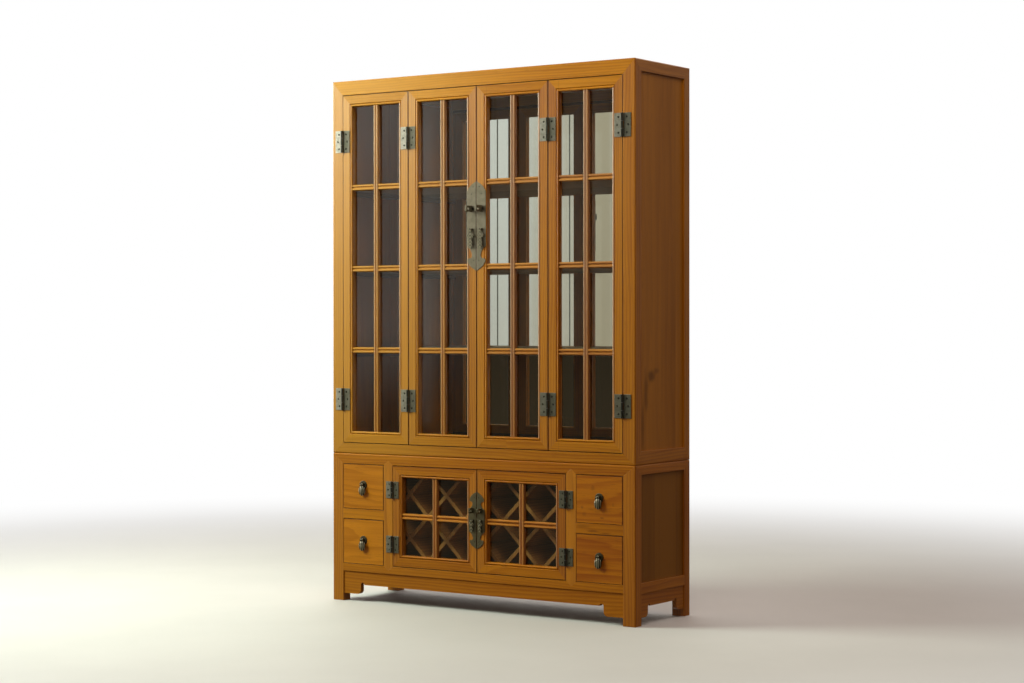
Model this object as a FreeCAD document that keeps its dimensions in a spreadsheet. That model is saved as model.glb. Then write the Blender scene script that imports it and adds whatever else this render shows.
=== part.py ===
import FreeCAD, Part
import math
import os

import Sketcher

# A two-part display cabinet in lacquered wood. The upper case has four glazed doors that fold in pairs
# over mirror-backed shelves. The lower case has two glazed doors before a bottle lattice and four drawers.
# X runs to the right, Y to the back and Z up. The origin is on the floor, at the middle of the whole
# outline with its door hardware, so the case front lies a little nearer than half the case depth.

# Driving sizes in millimetres: alias, value, what it is.
SIZES = (
    ("case_width", 1200, "outside width of both cases"),
    ("case_depth", 340, "outside depth of both cases"),
    ("total_height", 1760, "floor to cabinet top"),
    ("lower_height", 500, "floor to the joint between the cases"),
    ("post_width", 45, "post seen from the front"),
    ("post_depth", 36, "post seen from the side"),
    ("arris_round", 4, "rounding of the outer arrises of the frame"),
    ("board_thickness", 14, "top and bottom boards"),
    ("panel_thickness", 8, "side panels"),
    ("panel_recess", 6, "side panel behind the face of its posts"),
    ("panel_tongue", 7, "panel edge inside its groove"),
    ("upper_top_rail", 48, "height of the upper front top rail"),
    ("upper_top_side_rail", 38, "height of the upper side top rail"),
    ("upper_bottom_rail", 35, "height of the upper front bottom rail"),
    ("upper_bottom_side_rail", 42, "height of the upper side bottom rail"),
    ("lower_top_rail", 34, "height of the lower front top rail"),
    ("lower_top_side_rail", 30, "height of the lower side top rail"),
    ("lower_bottom_rail", 27, "height of the lower front bottom rail"),
    ("lower_bottom_side_rail", 32, "height of the lower side bottom rail"),
    ("leg_height", 100, "floor to the bottom rails"),
    ("tenon_height", 8, "tenons of the case rails"),
    ("tenon_thickness", 10, "tenons of the front and back rails"),
    ("tenon_setback", 12, "outer face of a post to the tenons inside it"),
    ("tenon_end", 15, "outer side of a post to the end of a front rail's tenon"),
    ("tenon_margin", 3, "inner edge of a rail to its tenon"),
    ("stub_width", 14, "tenons of the side rails"),
    ("stub_length", 12, "tenons of the side rails"),
    ("shelf_thickness", 18, "upper shelves"),
    ("shelf_setback", 33, "case front to shelf front"),
    ("shelf_fit", 0.5, "shelf end to post"),
    ("cleat_width", 48, "shelf cleat, from the side panel inwards"),
    ("cleat_height", 14, "shelf cleat"),
    ("mirror_setback", 333, "case front to mirror face"),
    ("mirror_thickness", 3, "mirror glass"),
    ("back_board_thickness", 4, "boards of both backs"),
    ("stop_height", 9, "strip that the doors close on"),
    ("stop_thickness", 9, "strip that the doors close on"),
    ("divider_width", 37, "upright between door and drawers"),
    ("door_half_opening", 345, "centre line to the divider"),
    ("drawer_rail", 33, "rail between two drawers"),
    ("joint_tip", 16, "pointed joint of the divider in the rails"),
    ("partition_thickness", 12, "board between drawers and bottles"),
    ("runner_width", 16, "strip under a drawer side"),
    ("runner_height", 14, "strip under a drawer side"),
    ("guide_height", 22, "strip beside a drawer side"),
    ("apron_height", 43, "front apron between the brackets"),
    ("apron_thickness", 16, "aprons"),
    ("apron_setback", 3, "apron behind the face of the posts"),
    ("bracket_width", 73, "front bracket along the rail"),
    ("bracket_drop", 32, "front bracket below the apron"),
    ("bracket_round", 15, "rounded toe of a bracket"),
    ("bracket_cove", 7, "small cove above the bracket"),
    ("side_bracket_width", 45, "side bracket along the rail"),
    ("slat_thickness", 12, "bottle lattice slat"),
    ("slat_depth", 230, "bottle lattice slat, front to back"),
    ("lattice_setback", 38, "case front to bottle lattice"),
    ("lattice_fit", 0.3, "lattice to the boards round it"),
    ("lattice_level", 296, "floor to the middle row of crossings"),
    ("cell_width", 150, "bottle cell, corner to corner across"),
    ("cell_height", 149, "bottle cell, corner to corner up"),
    ("door_thickness", 22, "frames of all doors"),
    ("door_reveal", 1.5, "door edge to the line of its hinge pin"),
    ("door_play", 2, "door to the rails above and below"),
    ("door_frame_width", 38, "stiles and rails of all doors"),
    ("door_tenon_thickness", 6, "tenons of the door rails"),
    ("door_tenon_setback", 4, "door face to those tenons"),
    ("door_tenon_end", 9, "door edge to the end of a tenon"),
    ("door_tenon_height", 16, "tenons of the door rails"),
    ("glass_setback", 15, "door face to glass"),
    ("glass_thickness", 3, "door glass"),
    ("glass_lip", 6, "frame in front of the glass edge"),
    ("glass_play", 0.5, "glass to its rebate"),
    ("bead_width", 8, "rounded bead on the inner edge of a frame"),
    ("quirk_width", 2, "groove beside the bead"),
    ("bar_width", 20, "glazing bar"),
    ("bar_thickness", 13, "glazing bar"),
    ("bar_groove", 3, "hollow between the two ridges of a bar"),
    ("bar_rise", 4, "height of the two ridges of a bar"),
    ("stop_bead", 5, "strip that holds the glass from behind"),
    ("leaf_thickness", 2, "hinge leaves and plates"),
    ("upper_leaf_reach", 30, "upper hinge, pin to leaf edge"),
    ("upper_leaf_height", 74, "upper hinge"),
    ("lower_leaf_reach", 26, "lower hinge, pin to leaf edge"),
    ("lower_leaf_height", 56, "lower hinge"),
    ("knuckle_radius", 4.5, "hinge barrel"),
    ("knuckle_fit", 0.3, "barrel to the wood behind it, and end gaps"),
    ("pin_radius", 2.4, "hinge pin"),
    ("pin_fit", 0.06, "pin to its bore"),
    ("upper_hinge_drop", 157, "upper opening top to its upper hinge"),
    ("upper_hinge_rise", 148, "upper opening bottom to its lower hinge"),
    ("lower_hinge_drop", 82, "lower opening top to its upper hinge"),
    ("lower_hinge_rise", 75, "lower opening bottom to its lower hinge"),
    ("plate_gap", 1.5, "centre line to the straight edge of a lock plate"),
    ("upper_plate_width", 36, "lock plate of one upper door"),
    ("upper_plate_height", 288, "lock plate of one upper door"),
    ("upper_plate_base", 1112, "floor to the lower tip of the upper plate"),
    ("lower_plate_width", 30, "lock plate of one lower door"),
    ("lower_plate_height", 184, "lock plate of one lower door"),
    ("lower_plate_base", 208, "floor to the lower tip of the lower plate"),
    ("staple_reach", 32, "upper padlock staple, out of its plate"),
    ("staple_height", 21, "upper padlock staple"),
    ("staple_thickness", 7, "upper padlock staple"),
    ("staple_eye", 5, "radius of the upper padlock eye"),
    ("staple_round", 4, "rounded corners of a padlock staple"),
    ("staple_rise", 200, "lower tip of the upper plate to its staple"),
    ("small_staple_reach", 21, "lower padlock staple, out of its plate"),
    ("small_staple_height", 16, "lower padlock staple"),
    ("small_staple_thickness", 5, "lower padlock staple"),
    ("small_staple_eye", 3.8, "radius of the lower padlock eye"),
    ("small_staple_rise", 124, "lower tip of the lower plate to its staple"),
    ("upper_pull_rise", 133, "lower tip of the upper plate to the pin of its pendant"),
    ("upper_pull_length", 60, "pendant of an upper door"),
    ("upper_pull_width", 25, "pendant of an upper door"),
    ("lower_pull_rise", 91, "lower tip of the lower plate to the pin of its pendant"),
    ("lower_pull_length", 36, "pendant of a lower door"),
    ("lower_pull_width", 17, "pendant of a lower door"),
    ("pull_thickness", 4, "pendants"),
    ("ear_gap", 7, "between the two ears that hold a pendant or drop"),
    ("ear_thickness", 2, "one ear"),
    ("ear_radius", 3.6, "rounding of an ear"),
    ("swing_radius", 1.5, "pin that a pendant or drop swings on"),
    ("swing_fit", 0.06, "that pin to its ring"),
    ("pendant_setback", 5.2, "plate face to the pin of a pendant"),
    ("drop_setback", 5.4, "rose face to the pin of a drop"),
    ("drop_rise", 3, "rose middle to the pin of its drop"),
    ("ring_radius", 3.5, "ring at the top of a pendant or drop"),
    ("side_play", 0.4, "ring to ear"),
    ("drawer_play", 1.5, "drawer front to its opening"),
    ("drawer_front_thickness", 18, "drawer front"),
    ("drawer_wall", 10, "drawer sides and back"),
    ("drawer_box_depth", 250, "drawer box behind its front"),
    ("drawer_box_drop", 18, "drawer side below the top of its front"),
    ("drawer_floor", 6, "drawer bottom board"),
    ("drawer_floor_rise", 8, "drawer bottom board above the runner"),
    ("drawer_lift", 0.3, "drawer side above its runner"),
    ("tail_length", 11, "dovetails of a drawer side in its front"),
    ("tail_width", 16, "those dovetails at their root"),
    ("tail_flare", 3, "how much wider they are at their end, on each edge"),
    ("rose_radius", 15, "plate of a drawer pull"),
    ("rose_thickness", 3, "plate of a drawer pull"),
    ("rose_rise", 5, "drawer middle to the middle of its rose"),
    ("drop_length", 38, "drop of a drawer pull, below its pin"),
    ("drop_height", 33, "rounded body of the drop, top to bottom"),
    ("drop_width", 27, "rounded body of the drop"),
    ("drop_depth", 8.6, "rounded body of the drop"),
    ("drop_neck", 5, "neck between the body of the drop and its ring"),
)

# Counts.
UPPER_ROWS = 4
UPPER_COLUMNS = 2
LOWER_ROWS = 2
LOWER_COLUMNS = 2
HINGE_KNUCKLES = 3
DOVETAILS = 3

# The middle row of crossings lies half a cell beside the centre line, as dovetails lie half a step in.
# A slat is left out where less than this many thicknesses of it would fit in a corner.
HALF_STEP = 0.5
SHORTEST_SLAT_SHARE = 3.0

# Radius of a quarter turn as a share of its chord.
QUARTER_SHARE = math.sqrt(0.5)

LEFT_TURN = 1
RIGHT_TURN = -1

BAR_CROWN_SHARE = 0.3
ROSE_RIM_SHARE = 0.4

# Outlines as shares of width and height from the lower tip: across, up, and for an arc its radius as a
# share of its chord and its turn.
upper_plate_shares = (
    (0.0, 0.0, 1.5, LEFT_TURN),
    (0.88, 0.09, 0.6, LEFT_TURN),
    (0.8, 0.135, 0.8, RIGHT_TURN),
    (0.42, 0.16, 1.0, RIGHT_TURN),
    (1.0, 0.275),
    (1.0, 0.885, 1.4, LEFT_TURN),
    (0.0, 1.0),
)
lower_plate_shares = (
    (0.0, 0.0, 1.5, LEFT_TURN),
    (0.82, 0.1, 0.6, LEFT_TURN),
    (0.74, 0.15, 0.8, RIGHT_TURN),
    (0.42, 0.18, 1.0, RIGHT_TURN),
    (1.0, 0.3),
    (1.0, 0.69, 1.0, RIGHT_TURN),
    (0.48, 0.8, 0.8, RIGHT_TURN),
    (0.78, 0.835, 0.6, LEFT_TURN),
    (0.86, 0.885, 1.5, LEFT_TURN),
    (0.0, 1.0),
)
pendant_shares = (
    (0.0, 1.0, 0.75, LEFT_TURN),
    (0.33, 0.85),
    (0.3, 0.6, 0.75, LEFT_TURN),
    (0.15, 0.5, 0.75, RIGHT_TURN),
    (0.46, 0.42, 0.6, LEFT_TURN),
    (0.46, 0.28, 1.0, LEFT_TURN),
    (0.3, 0.22),
)

doc = FreeCAD.newDocument("kitchen_cabinet")
sheet = doc.addObject("Spreadsheet::Sheet", "sizes")


class Size:
    """A size kept as arithmetic on the sheet, with its present value."""

    def __init__(self, text, value):
        self.text = text
        self.value = value

    def joined(self, sign, other, value):
        return Size("(%s %s %s)" % (self.text, sign, other.text), value)

    def __add__(self, other):
        other = sized(other)
        return self.joined("+", other, self.value + other.value)

    def __sub__(self, other):
        other = sized(other)
        return self.joined("-", other, self.value - other.value)

    def __mul__(self, other):
        other = sized(other)
        return self.joined("*", other, self.value * other.value)

    def __truediv__(self, other):
        other = sized(other)
        return self.joined("/", other, self.value / other.value)

    def __neg__(self):
        return Size("(0 - %s)" % self.text, -self.value)

    def __rsub__(self, other):
        return sized(other) - self

    __radd__ = __add__
    __rmul__ = __mul__


def sized(number):
    """A Size as it is, and a plain share or count as a Size."""
    if isinstance(number, Size):
        return number
    return Size(repr(number), float(number))


def diagonal(across, up):
    """Straight distance of a step across and a step up."""
    across = sized(across)
    up = sized(up)
    text = "sqrt(%s * %s + %s * %s)" % (across.text, across.text, up.text, up.text)
    return Size(text, math.hypot(across.value, up.value))


def fill_sheet():
    """Write every driving size into the sheet and hand back the sizes by name."""
    named = {}
    for row, (alias, value, note) in enumerate(SIZES, start=1):
        sheet.set("A%d" % row, alias)
        sheet.set("B%d" % row, str(value))
        sheet.set("C%d" % row, note)
        sheet.setAlias("B%d" % row, alias)
        named[alias] = Size("sizes." + alias, value)
    doc.recompute()
    return named


class Names:
    """The sizes as attributes, so that they read as words."""

    def __init__(self, named):
        self.__dict__.update(named)


s = Names(fill_sheet())

# Planes and sides of the whole cabinet, from the driving sizes.
hardware_reach = s.leaf_thickness + s.staple_reach
front = (hardware_reach - s.case_depth) / 2
back = front + s.case_depth
middle = front + s.case_depth / 2
half_width = s.case_width / 2
half_opening = half_width - s.post_width
inner_front = front + s.post_depth
inner_back = back - s.post_depth
panel_outside = half_width - s.panel_recess
panel_inside = panel_outside - s.panel_thickness

upper_low = s.lower_height + s.upper_bottom_rail
upper_high = s.total_height - s.upper_top_rail
lower_low = s.leg_height + s.lower_bottom_rail
lower_high = s.lower_height - s.lower_top_rail
drawer_room = (lower_high - lower_low - s.drawer_rail) / 2
drawer_rail_low = lower_low + drawer_room
drawer_rail_high = drawer_rail_low + s.drawer_rail
drawer_near = s.door_half_opening + s.divider_width

AXES = {
    "XY": FreeCAD.Vector(0, 0, 1),
    "XZ": FreeCAD.Vector(0, 1, 0),
    "YZ": FreeCAD.Vector(1, 0, 0),
}
TURNS = {
    "XY": FreeCAD.Rotation(),
    "XZ": FreeCAD.Rotation(FreeCAD.Vector(1, 0, 0), 90),
    "YZ": FreeCAD.Rotation(FreeCAD.Vector(1, 1, 1), 120),
}
LEVELS = {"XY": "z", "XZ": "y", "YZ": "x"}


def bind(thing, path, size):
    """Bind one property of an object to its arithmetic on the sheet."""
    thing.setExpression(path, sized(size).text)


def block(name, across, deep, high):
    """Box between two places along each axis."""
    box = doc.addObject("Part::Box", name)
    for side, axis, (low, top) in zip(("Length", "Width", "Height"), "xyz", (across, deep, high)):
        bind(box, side, sized(top) - low)
        bind(box, "Placement.Base." + axis, low)
    return box


def rounded_block(name, across, deep, high, edges, radius):
    """Box with some of its edges rounded, numbered as a Part box numbers them."""
    box = block(name + "_blank", across, deep, high)
    doc.recompute()
    rounded = doc.addObject("Part::Fillet", name)
    rounded.Base = box
    rounded.Edges = [(number, radius.value, radius.value) for number in edges]
    return rounded


def rod(name, centre, radius, low, high, axis):
    """Cylinder along X, Y or Z between two levels of that axis; centre holds the two other places."""
    turned = {
        "X": (FreeCAD.Rotation(FreeCAD.Vector(0, 1, 0), 90), "x", ("y", "z")),
        "Y": (FreeCAD.Rotation(FreeCAD.Vector(1, 0, 0), -90), "y", ("x", "z")),
        "Z": (FreeCAD.Rotation(), "z", ("x", "y")),
    }
    rotation, along, others = turned[axis]
    cylinder = doc.addObject("Part::Cylinder", name)
    cylinder.Placement = FreeCAD.Placement(FreeCAD.Vector(), rotation)
    bind(cylinder, "Radius", radius)
    bind(cylinder, "Height", sized(high) - low)
    bind(cylinder, "Placement.Base." + along, low)
    for other, place in zip(others, centre):
        bind(cylinder, "Placement.Base." + other, place)
    return cylinder


def draw(sketch, corners):
    """Closed outline through bound corners.

    A corner is (a, b), or (a, b, share, turn) where the edge that leaves it is an arc: its radius as a
    share of its chord, and which way it turns.
    """
    places = [(sized(corner[0]), sized(corner[1])) for corner in corners]
    ends = []
    arcs = []
    for number, corner in enumerate(corners):
        here = places[number]
        there = places[(number + 1) % len(corners)]
        start = FreeCAD.Vector(here[0].value, here[1].value, 0)
        stop = FreeCAD.Vector(there[0].value, there[1].value, 0)
        if len(corner) == 2:
            sketch.addGeometry(Part.LineSegment(start, stop), False)
            ends.append((1, 2))
            continue
        share, turn = corner[2:]
        chord = stop - start
        across = FreeCAD.Vector(-chord.y, chord.x, 0)
        reach = share * chord.Length
        centre_offset = math.sqrt(reach * reach - chord.Length * chord.Length / 4)
        centre = (start + stop) / 2 + across.normalize() * (turn * centre_offset)
        first, last = (start, stop) if turn == LEFT_TURN else (stop, start)
        circle = Part.Circle(centre, FreeCAD.Vector(0, 0, 1), reach)
        begin = math.atan2(first.y - centre.y, first.x - centre.x)
        finish = math.atan2(last.y - centre.y, last.x - centre.x)
        if finish < begin:
            finish += 2 * math.pi
        sketch.addGeometry(Part.ArcOfCircle(circle, begin, finish), False)
        ends.append((1, 2) if turn == LEFT_TURN else (2, 1))
        radius = diagonal(there[0] - here[0], there[1] - here[1]) * share
        arcs.append((number, radius))
    for number in range(len(corners)):
        following = (number + 1) % len(corners)
        sketch.addConstraint(
            Sketcher.Constraint("Coincident", number, ends[number][1], following, ends[following][0]))
    for number, place in enumerate(places):
        for kind, size in zip(("DistanceX", "DistanceY"), place):
            held = Sketcher.Constraint(kind, -1, 1, number, ends[number][0], size.value)
            row = sketch.addConstraint(held)
            bind(sketch, "Constraints[%d]" % row, size)
    for number, radius in arcs:
        row = sketch.addConstraint(Sketcher.Constraint("Radius", number, radius.value))
        bind(sketch, "Constraints[%d]" % row, radius)


def prism(name, plane, corners, low, high):
    """Outline on a plane, carried along that plane's axis between two levels."""
    sketch = doc.addObject("Sketcher::SketchObject", name + "_outline")
    sketch.Placement = FreeCAD.Placement(FreeCAD.Vector(), TURNS[plane])
    bind(sketch, "Placement.Base." + LEVELS[plane], low)
    draw(sketch, corners)
    solid = doc.addObject("Part::Extrusion", name)
    solid.Base = sketch
    solid.DirMode = "Custom"
    solid.Dir = AXES[plane]
    bind(solid, "LengthFwd", sized(high) - low)
    solid.Solid = True
    return solid


def common(name, *shapes):
    """What all the shapes share."""
    shared = doc.addObject("Part::MultiCommon", name)
    shared.Shapes = list(shapes)
    return shared


def fused(name, *shapes):
    """The shapes as one solid."""
    joined = doc.addObject("Part::MultiFuse", name)
    joined.Shapes = list(shapes)
    joined.Refine = True
    return joined


def cut(name, base, tool):
    """The base without the tool."""
    left = doc.addObject("Part::Cut", name)
    left.Base = base
    left.Tool = tool
    return left


def group(name, *shapes):
    """Several solids side by side."""
    together = doc.addObject("Part::Compound", name)
    together.Links = list(shapes)
    return together


def across_mirror(name, shape, place=0):
    """Left and right swapped about an upright plane."""
    mirrored = doc.addObject("Part::Mirroring", name)
    mirrored.Source = shape
    mirrored.Normal = FreeCAD.Vector(1, 0, 0)
    bind(mirrored, "Base.x", place)
    return mirrored


def deep_mirror(name, shape):
    """Front and back swapped about the middle of the case."""
    mirrored = doc.addObject("Part::Mirroring", name)
    mirrored.Source = shape
    mirrored.Normal = FreeCAD.Vector(0, 1, 0)
    bind(mirrored, "Base.y", middle)
    return mirrored


def high_mirror(name, shape, place):
    """Top and bottom swapped about a level."""
    mirrored = doc.addObject("Part::Mirroring", name)
    mirrored.Source = shape
    mirrored.Normal = FreeCAD.Vector(0, 0, 1)
    bind(mirrored, "Base.z", place)
    return mirrored


nodes = []


def node(label, *shapes, across=0, up=0):
    """A finished piece: one or more solids under the name of their file, moved to their place."""
    piece = group("piece_" + label, *shapes)
    piece.Label = label
    bind(piece, "Placement.Base.x", across)
    bind(piece, "Placement.Base.z", up)
    nodes.append(piece)
    return piece


def copied(name, shape, across=0, up=0):
    """The same solid again, moved across and up."""
    again = group(name, shape)
    bind(again, "Placement.Base.x", across)
    bind(again, "Placement.Base.z", up)
    return again


# Edges of a Part box by number.
UP_LEFT_FRONT = 1
LOW_LEFT = 4
TOP_LEFT = 2
LOW_FRONT = 9
TOP_FRONT = 10


def frame_quarter(name, low, high, top_rail, top_side_rail, bottom_rail=None, bottom_side_rail=None):
    """Front left post and its rails, mitred three ways where they meet and tenoned inside the mitre.

    Each of the three pieces at a corner is what its two mitred outlines share. Without bottom rails the
    post ends square.
    """
    low = sized(low)
    left = -half_width
    inner = -half_opening
    foot_front = low + bottom_rail if bottom_rail else low
    foot_side = low + bottom_side_rail if bottom_side_rail else low
    tenons = []

    def tenon_span(level, drop):
        """Levels of a tenon that lies a little outside the inner edge of its rail."""
        if drop.value > 0:
            top = level + drop - s.tenon_margin
            return top - s.tenon_height, top
        bottom = level + drop + s.tenon_margin
        return bottom, bottom + s.tenon_height

    def face_rail(label, level, drop, edge):
        """Front rail whose outer side is at a level and which is so high, up or down from it."""
        ends = [(left, level), (half_width, level), (half_opening, level + drop), (inner, level + drop)]
        span = (level, level + drop) if drop.value > 0 else (level + drop, level)
        mitred = common(
            label + "_mitred",
            rounded_block(label + "_blank", (left, half_width), (front, inner_front), span,
                          (edge,), s.arris_round),
            prism(label + "_face", "XZ", ends, front, inner_front),
            prism(label + "_plan", "XY",
                  [(left, front), (half_width, front), (half_opening, inner_front), (inner, inner_front)],
                  *span))
        tenon = block(label + "_tenon", (left + s.tenon_end, inner),
                      (front + s.tenon_setback, front + s.tenon_setback + s.tenon_thickness),
                      tenon_span(level, drop))
        tenons.append(tenon)
        return fused(label, mitred, tenon, across_mirror(label + "_right_tenon", tenon))

    def side_rail(label, level, drop, edge):
        """Left side rail, made the same way."""
        ends = [(front, level), (back, level), (inner_back, level + drop), (inner_front, level + drop)]
        span = (level, level + drop) if drop.value > 0 else (level + drop, level)
        mitred = common(
            label + "_mitred",
            rounded_block(label + "_blank", (left, inner), (front, back), span, (edge,), s.arris_round),
            prism(label + "_side", "YZ", ends, left, inner),
            prism(label + "_plan", "XY",
                  [(left, front), (left, back), (inner, inner_back), (inner, inner_front)], *span))
        tenon = block(label + "_tenon", (left + s.tenon_setback, left + s.tenon_setback + s.stub_width),
                      (inner_front - s.stub_length, inner_front), tenon_span(level, drop))
        tenons.append(tenon)
        return fused(label, mitred, tenon, deep_mirror(label + "_back_tenon", tenon))

    rails = [face_rail(name + "_top_rail", high, -top_rail, TOP_FRONT)]
    sides = [side_rail(name + "_top_side_rail", high, -top_side_rail, TOP_LEFT)]
    if bottom_rail:
        rails.append(face_rail(name + "_bottom_rail", low, bottom_rail, LOW_FRONT))
        sides.append(side_rail(name + "_bottom_side_rail", low, bottom_side_rail, LOW_LEFT))
    mitred_post = common(
        name + "_mitred_post",
        rounded_block(name + "_post_blank", (left, inner), (front, inner_front), (low, high),
                      (UP_LEFT_FRONT,), s.arris_round),
        prism(name + "_post_face", "XZ",
              [(left, low), (inner, foot_front), (inner, high - top_rail), (left, high)],
              front, inner_front),
        prism(name + "_post_side", "YZ",
              [(front, low), (inner_front, foot_side), (inner_front, high - top_side_rail), (front, high)],
              left, inner))
    post = cut(name + "_post", mitred_post, group(name + "_mortises", *tenons))
    return post, rails, sides


def all_round(name, post, rails, sides):
    """Posts at the four corners, rails at front and back, side rails left and right."""
    right_post = across_mirror(name + "_right_post", post)
    posts = [post, right_post]
    posts += [deep_mirror(name + "_back_%s" % side, one) for side, one in
              (("left_post", post), ("right_post", right_post))]
    every_rail = list(rails)
    every_rail += [deep_mirror("%s_back_rail_%d" % (name, number), rail)
                   for number, rail in enumerate(rails, start=1)]
    every_side = list(sides)
    every_side += [across_mirror("%s_right_rail_%d" % (name, number), rail)
                   for number, rail in enumerate(sides, start=1)]
    return posts, every_rail, every_side


def side_panels(name, low, high):
    """Left and right panels, their edges in the grooves of posts and rails."""
    left = block(name + "_left",
                 (-panel_outside, -panel_inside),
                 (inner_front - s.panel_tongue, inner_back + s.panel_tongue),
                 (low - s.panel_tongue, high + s.panel_tongue))
    return left, across_mirror(name + "_right", left)


def back_board(name, deep, low, high, thickness):
    """Board in the grooves of the rear posts and rails."""
    return block(name, (-half_opening - s.panel_tongue, half_opening + s.panel_tongue),
                 (deep, deep + thickness), (low - s.panel_tongue, high + s.panel_tongue))


def flat_board(name, low):
    """Top or bottom board inside the ring of rails."""
    return block(name, (-half_opening, half_opening), (inner_front, inner_back),
                 (low, low + s.board_thickness))


mirror_back = front + s.mirror_setback + s.mirror_thickness


def build_upper_case():
    """Posts, rails, boards, panels, mirror and shelves of the upper case."""
    post, rails, sides = frame_quarter(
        "upper", s.lower_height, s.total_height, s.upper_top_rail, s.upper_top_side_rail,
        s.upper_bottom_rail, s.upper_bottom_side_rail)
    posts, rails, sides = all_round("upper", post, rails, sides)
    panels = side_panels("upper_panel", s.lower_height + s.upper_bottom_side_rail,
                         s.total_height - s.upper_top_side_rail)
    board = back_board("upper_back_blank", mirror_back, upper_low, upper_high, s.back_board_thickness)
    grooves = group("upper_grooves", *panels, board)
    node("upper_posts", cut("upper_posts_grooved", group("upper_posts_all", *posts), grooves))
    node("upper_rails", cut("upper_rails_grooved", group("upper_rails_all", *rails, *sides), grooves))
    node("upper_side_panels", *panels)
    node("upper_back_mirror", block("mirror", (-half_opening, half_opening),
                                    (front + s.mirror_setback, mirror_back), (upper_low, upper_high)))
    node("upper_boards", board,
         flat_board("upper_floor", upper_low - s.board_thickness),
         flat_board("upper_roof", s.total_height - s.board_thickness))

    pane = (upper_high - upper_low - (s.door_play + s.door_frame_width) * 2) / UPPER_ROWS
    shelves = []
    cleats = []
    for row in range(1, UPPER_ROWS):
        level = upper_low + s.door_play + s.door_frame_width + pane * row
        base = level - s.shelf_thickness / 2
        shelves.append(block("shelf_%d" % row, (-half_opening + s.shelf_fit, half_opening - s.shelf_fit),
                             (front + s.shelf_setback, front + s.mirror_setback - s.shelf_fit),
                             (base, base + s.shelf_thickness)))
        cleat = block("cleat_%d" % row, (-panel_inside, -panel_inside + s.cleat_width),
                      (inner_front, inner_back), (base - s.cleat_height, base))
        cleats += [cleat, across_mirror("right_cleat_%d" % row, cleat)]
    node("upper_shelves", *shelves)
    stop_front = front + s.door_thickness + s.knuckle_fit
    stops = []
    for name, half, low, high in (("upper", half_opening, upper_low, upper_high),
                                  ("lower", s.door_half_opening, lower_low, lower_high)):
        for side, base in (("low", low), ("high", high - s.stop_height)):
            stops.append(block("%s_%s_stop" % (name, side), (-half, half),
                               (stop_front, stop_front + s.stop_thickness),
                               (base, base + s.stop_height)))
    node("cleats_and_door_stops", *cleats, *stops)


def apron(name, plane, low_end, high_end, bracket, near, far):
    """Board under a rail with a bracket at each leg, its outline on the front or side plane."""
    top = s.leg_height
    line = top - s.apron_height
    toe = line - s.bracket_drop
    cove = s.bracket_cove
    left = low_end + bracket
    right = high_end - bracket
    corners = [
        (low_end, top),
        (low_end, toe),
        (left - s.bracket_round, toe, QUARTER_SHARE, LEFT_TURN),
        (left, toe + s.bracket_round),
        (left, line, QUARTER_SHARE, RIGHT_TURN),
        (left + cove, line + cove, QUARTER_SHARE, RIGHT_TURN),
        (left + cove * 2, line),
        (right - cove * 2, line, QUARTER_SHARE, RIGHT_TURN),
        (right - cove, line + cove, QUARTER_SHARE, RIGHT_TURN),
        (right, line),
        (right, toe + s.bracket_round, QUARTER_SHARE, LEFT_TURN),
        (right + s.bracket_round, toe),
        (high_end, toe),
        (high_end, top),
    ]
    return prism(name, plane, corners, near, far)


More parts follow.
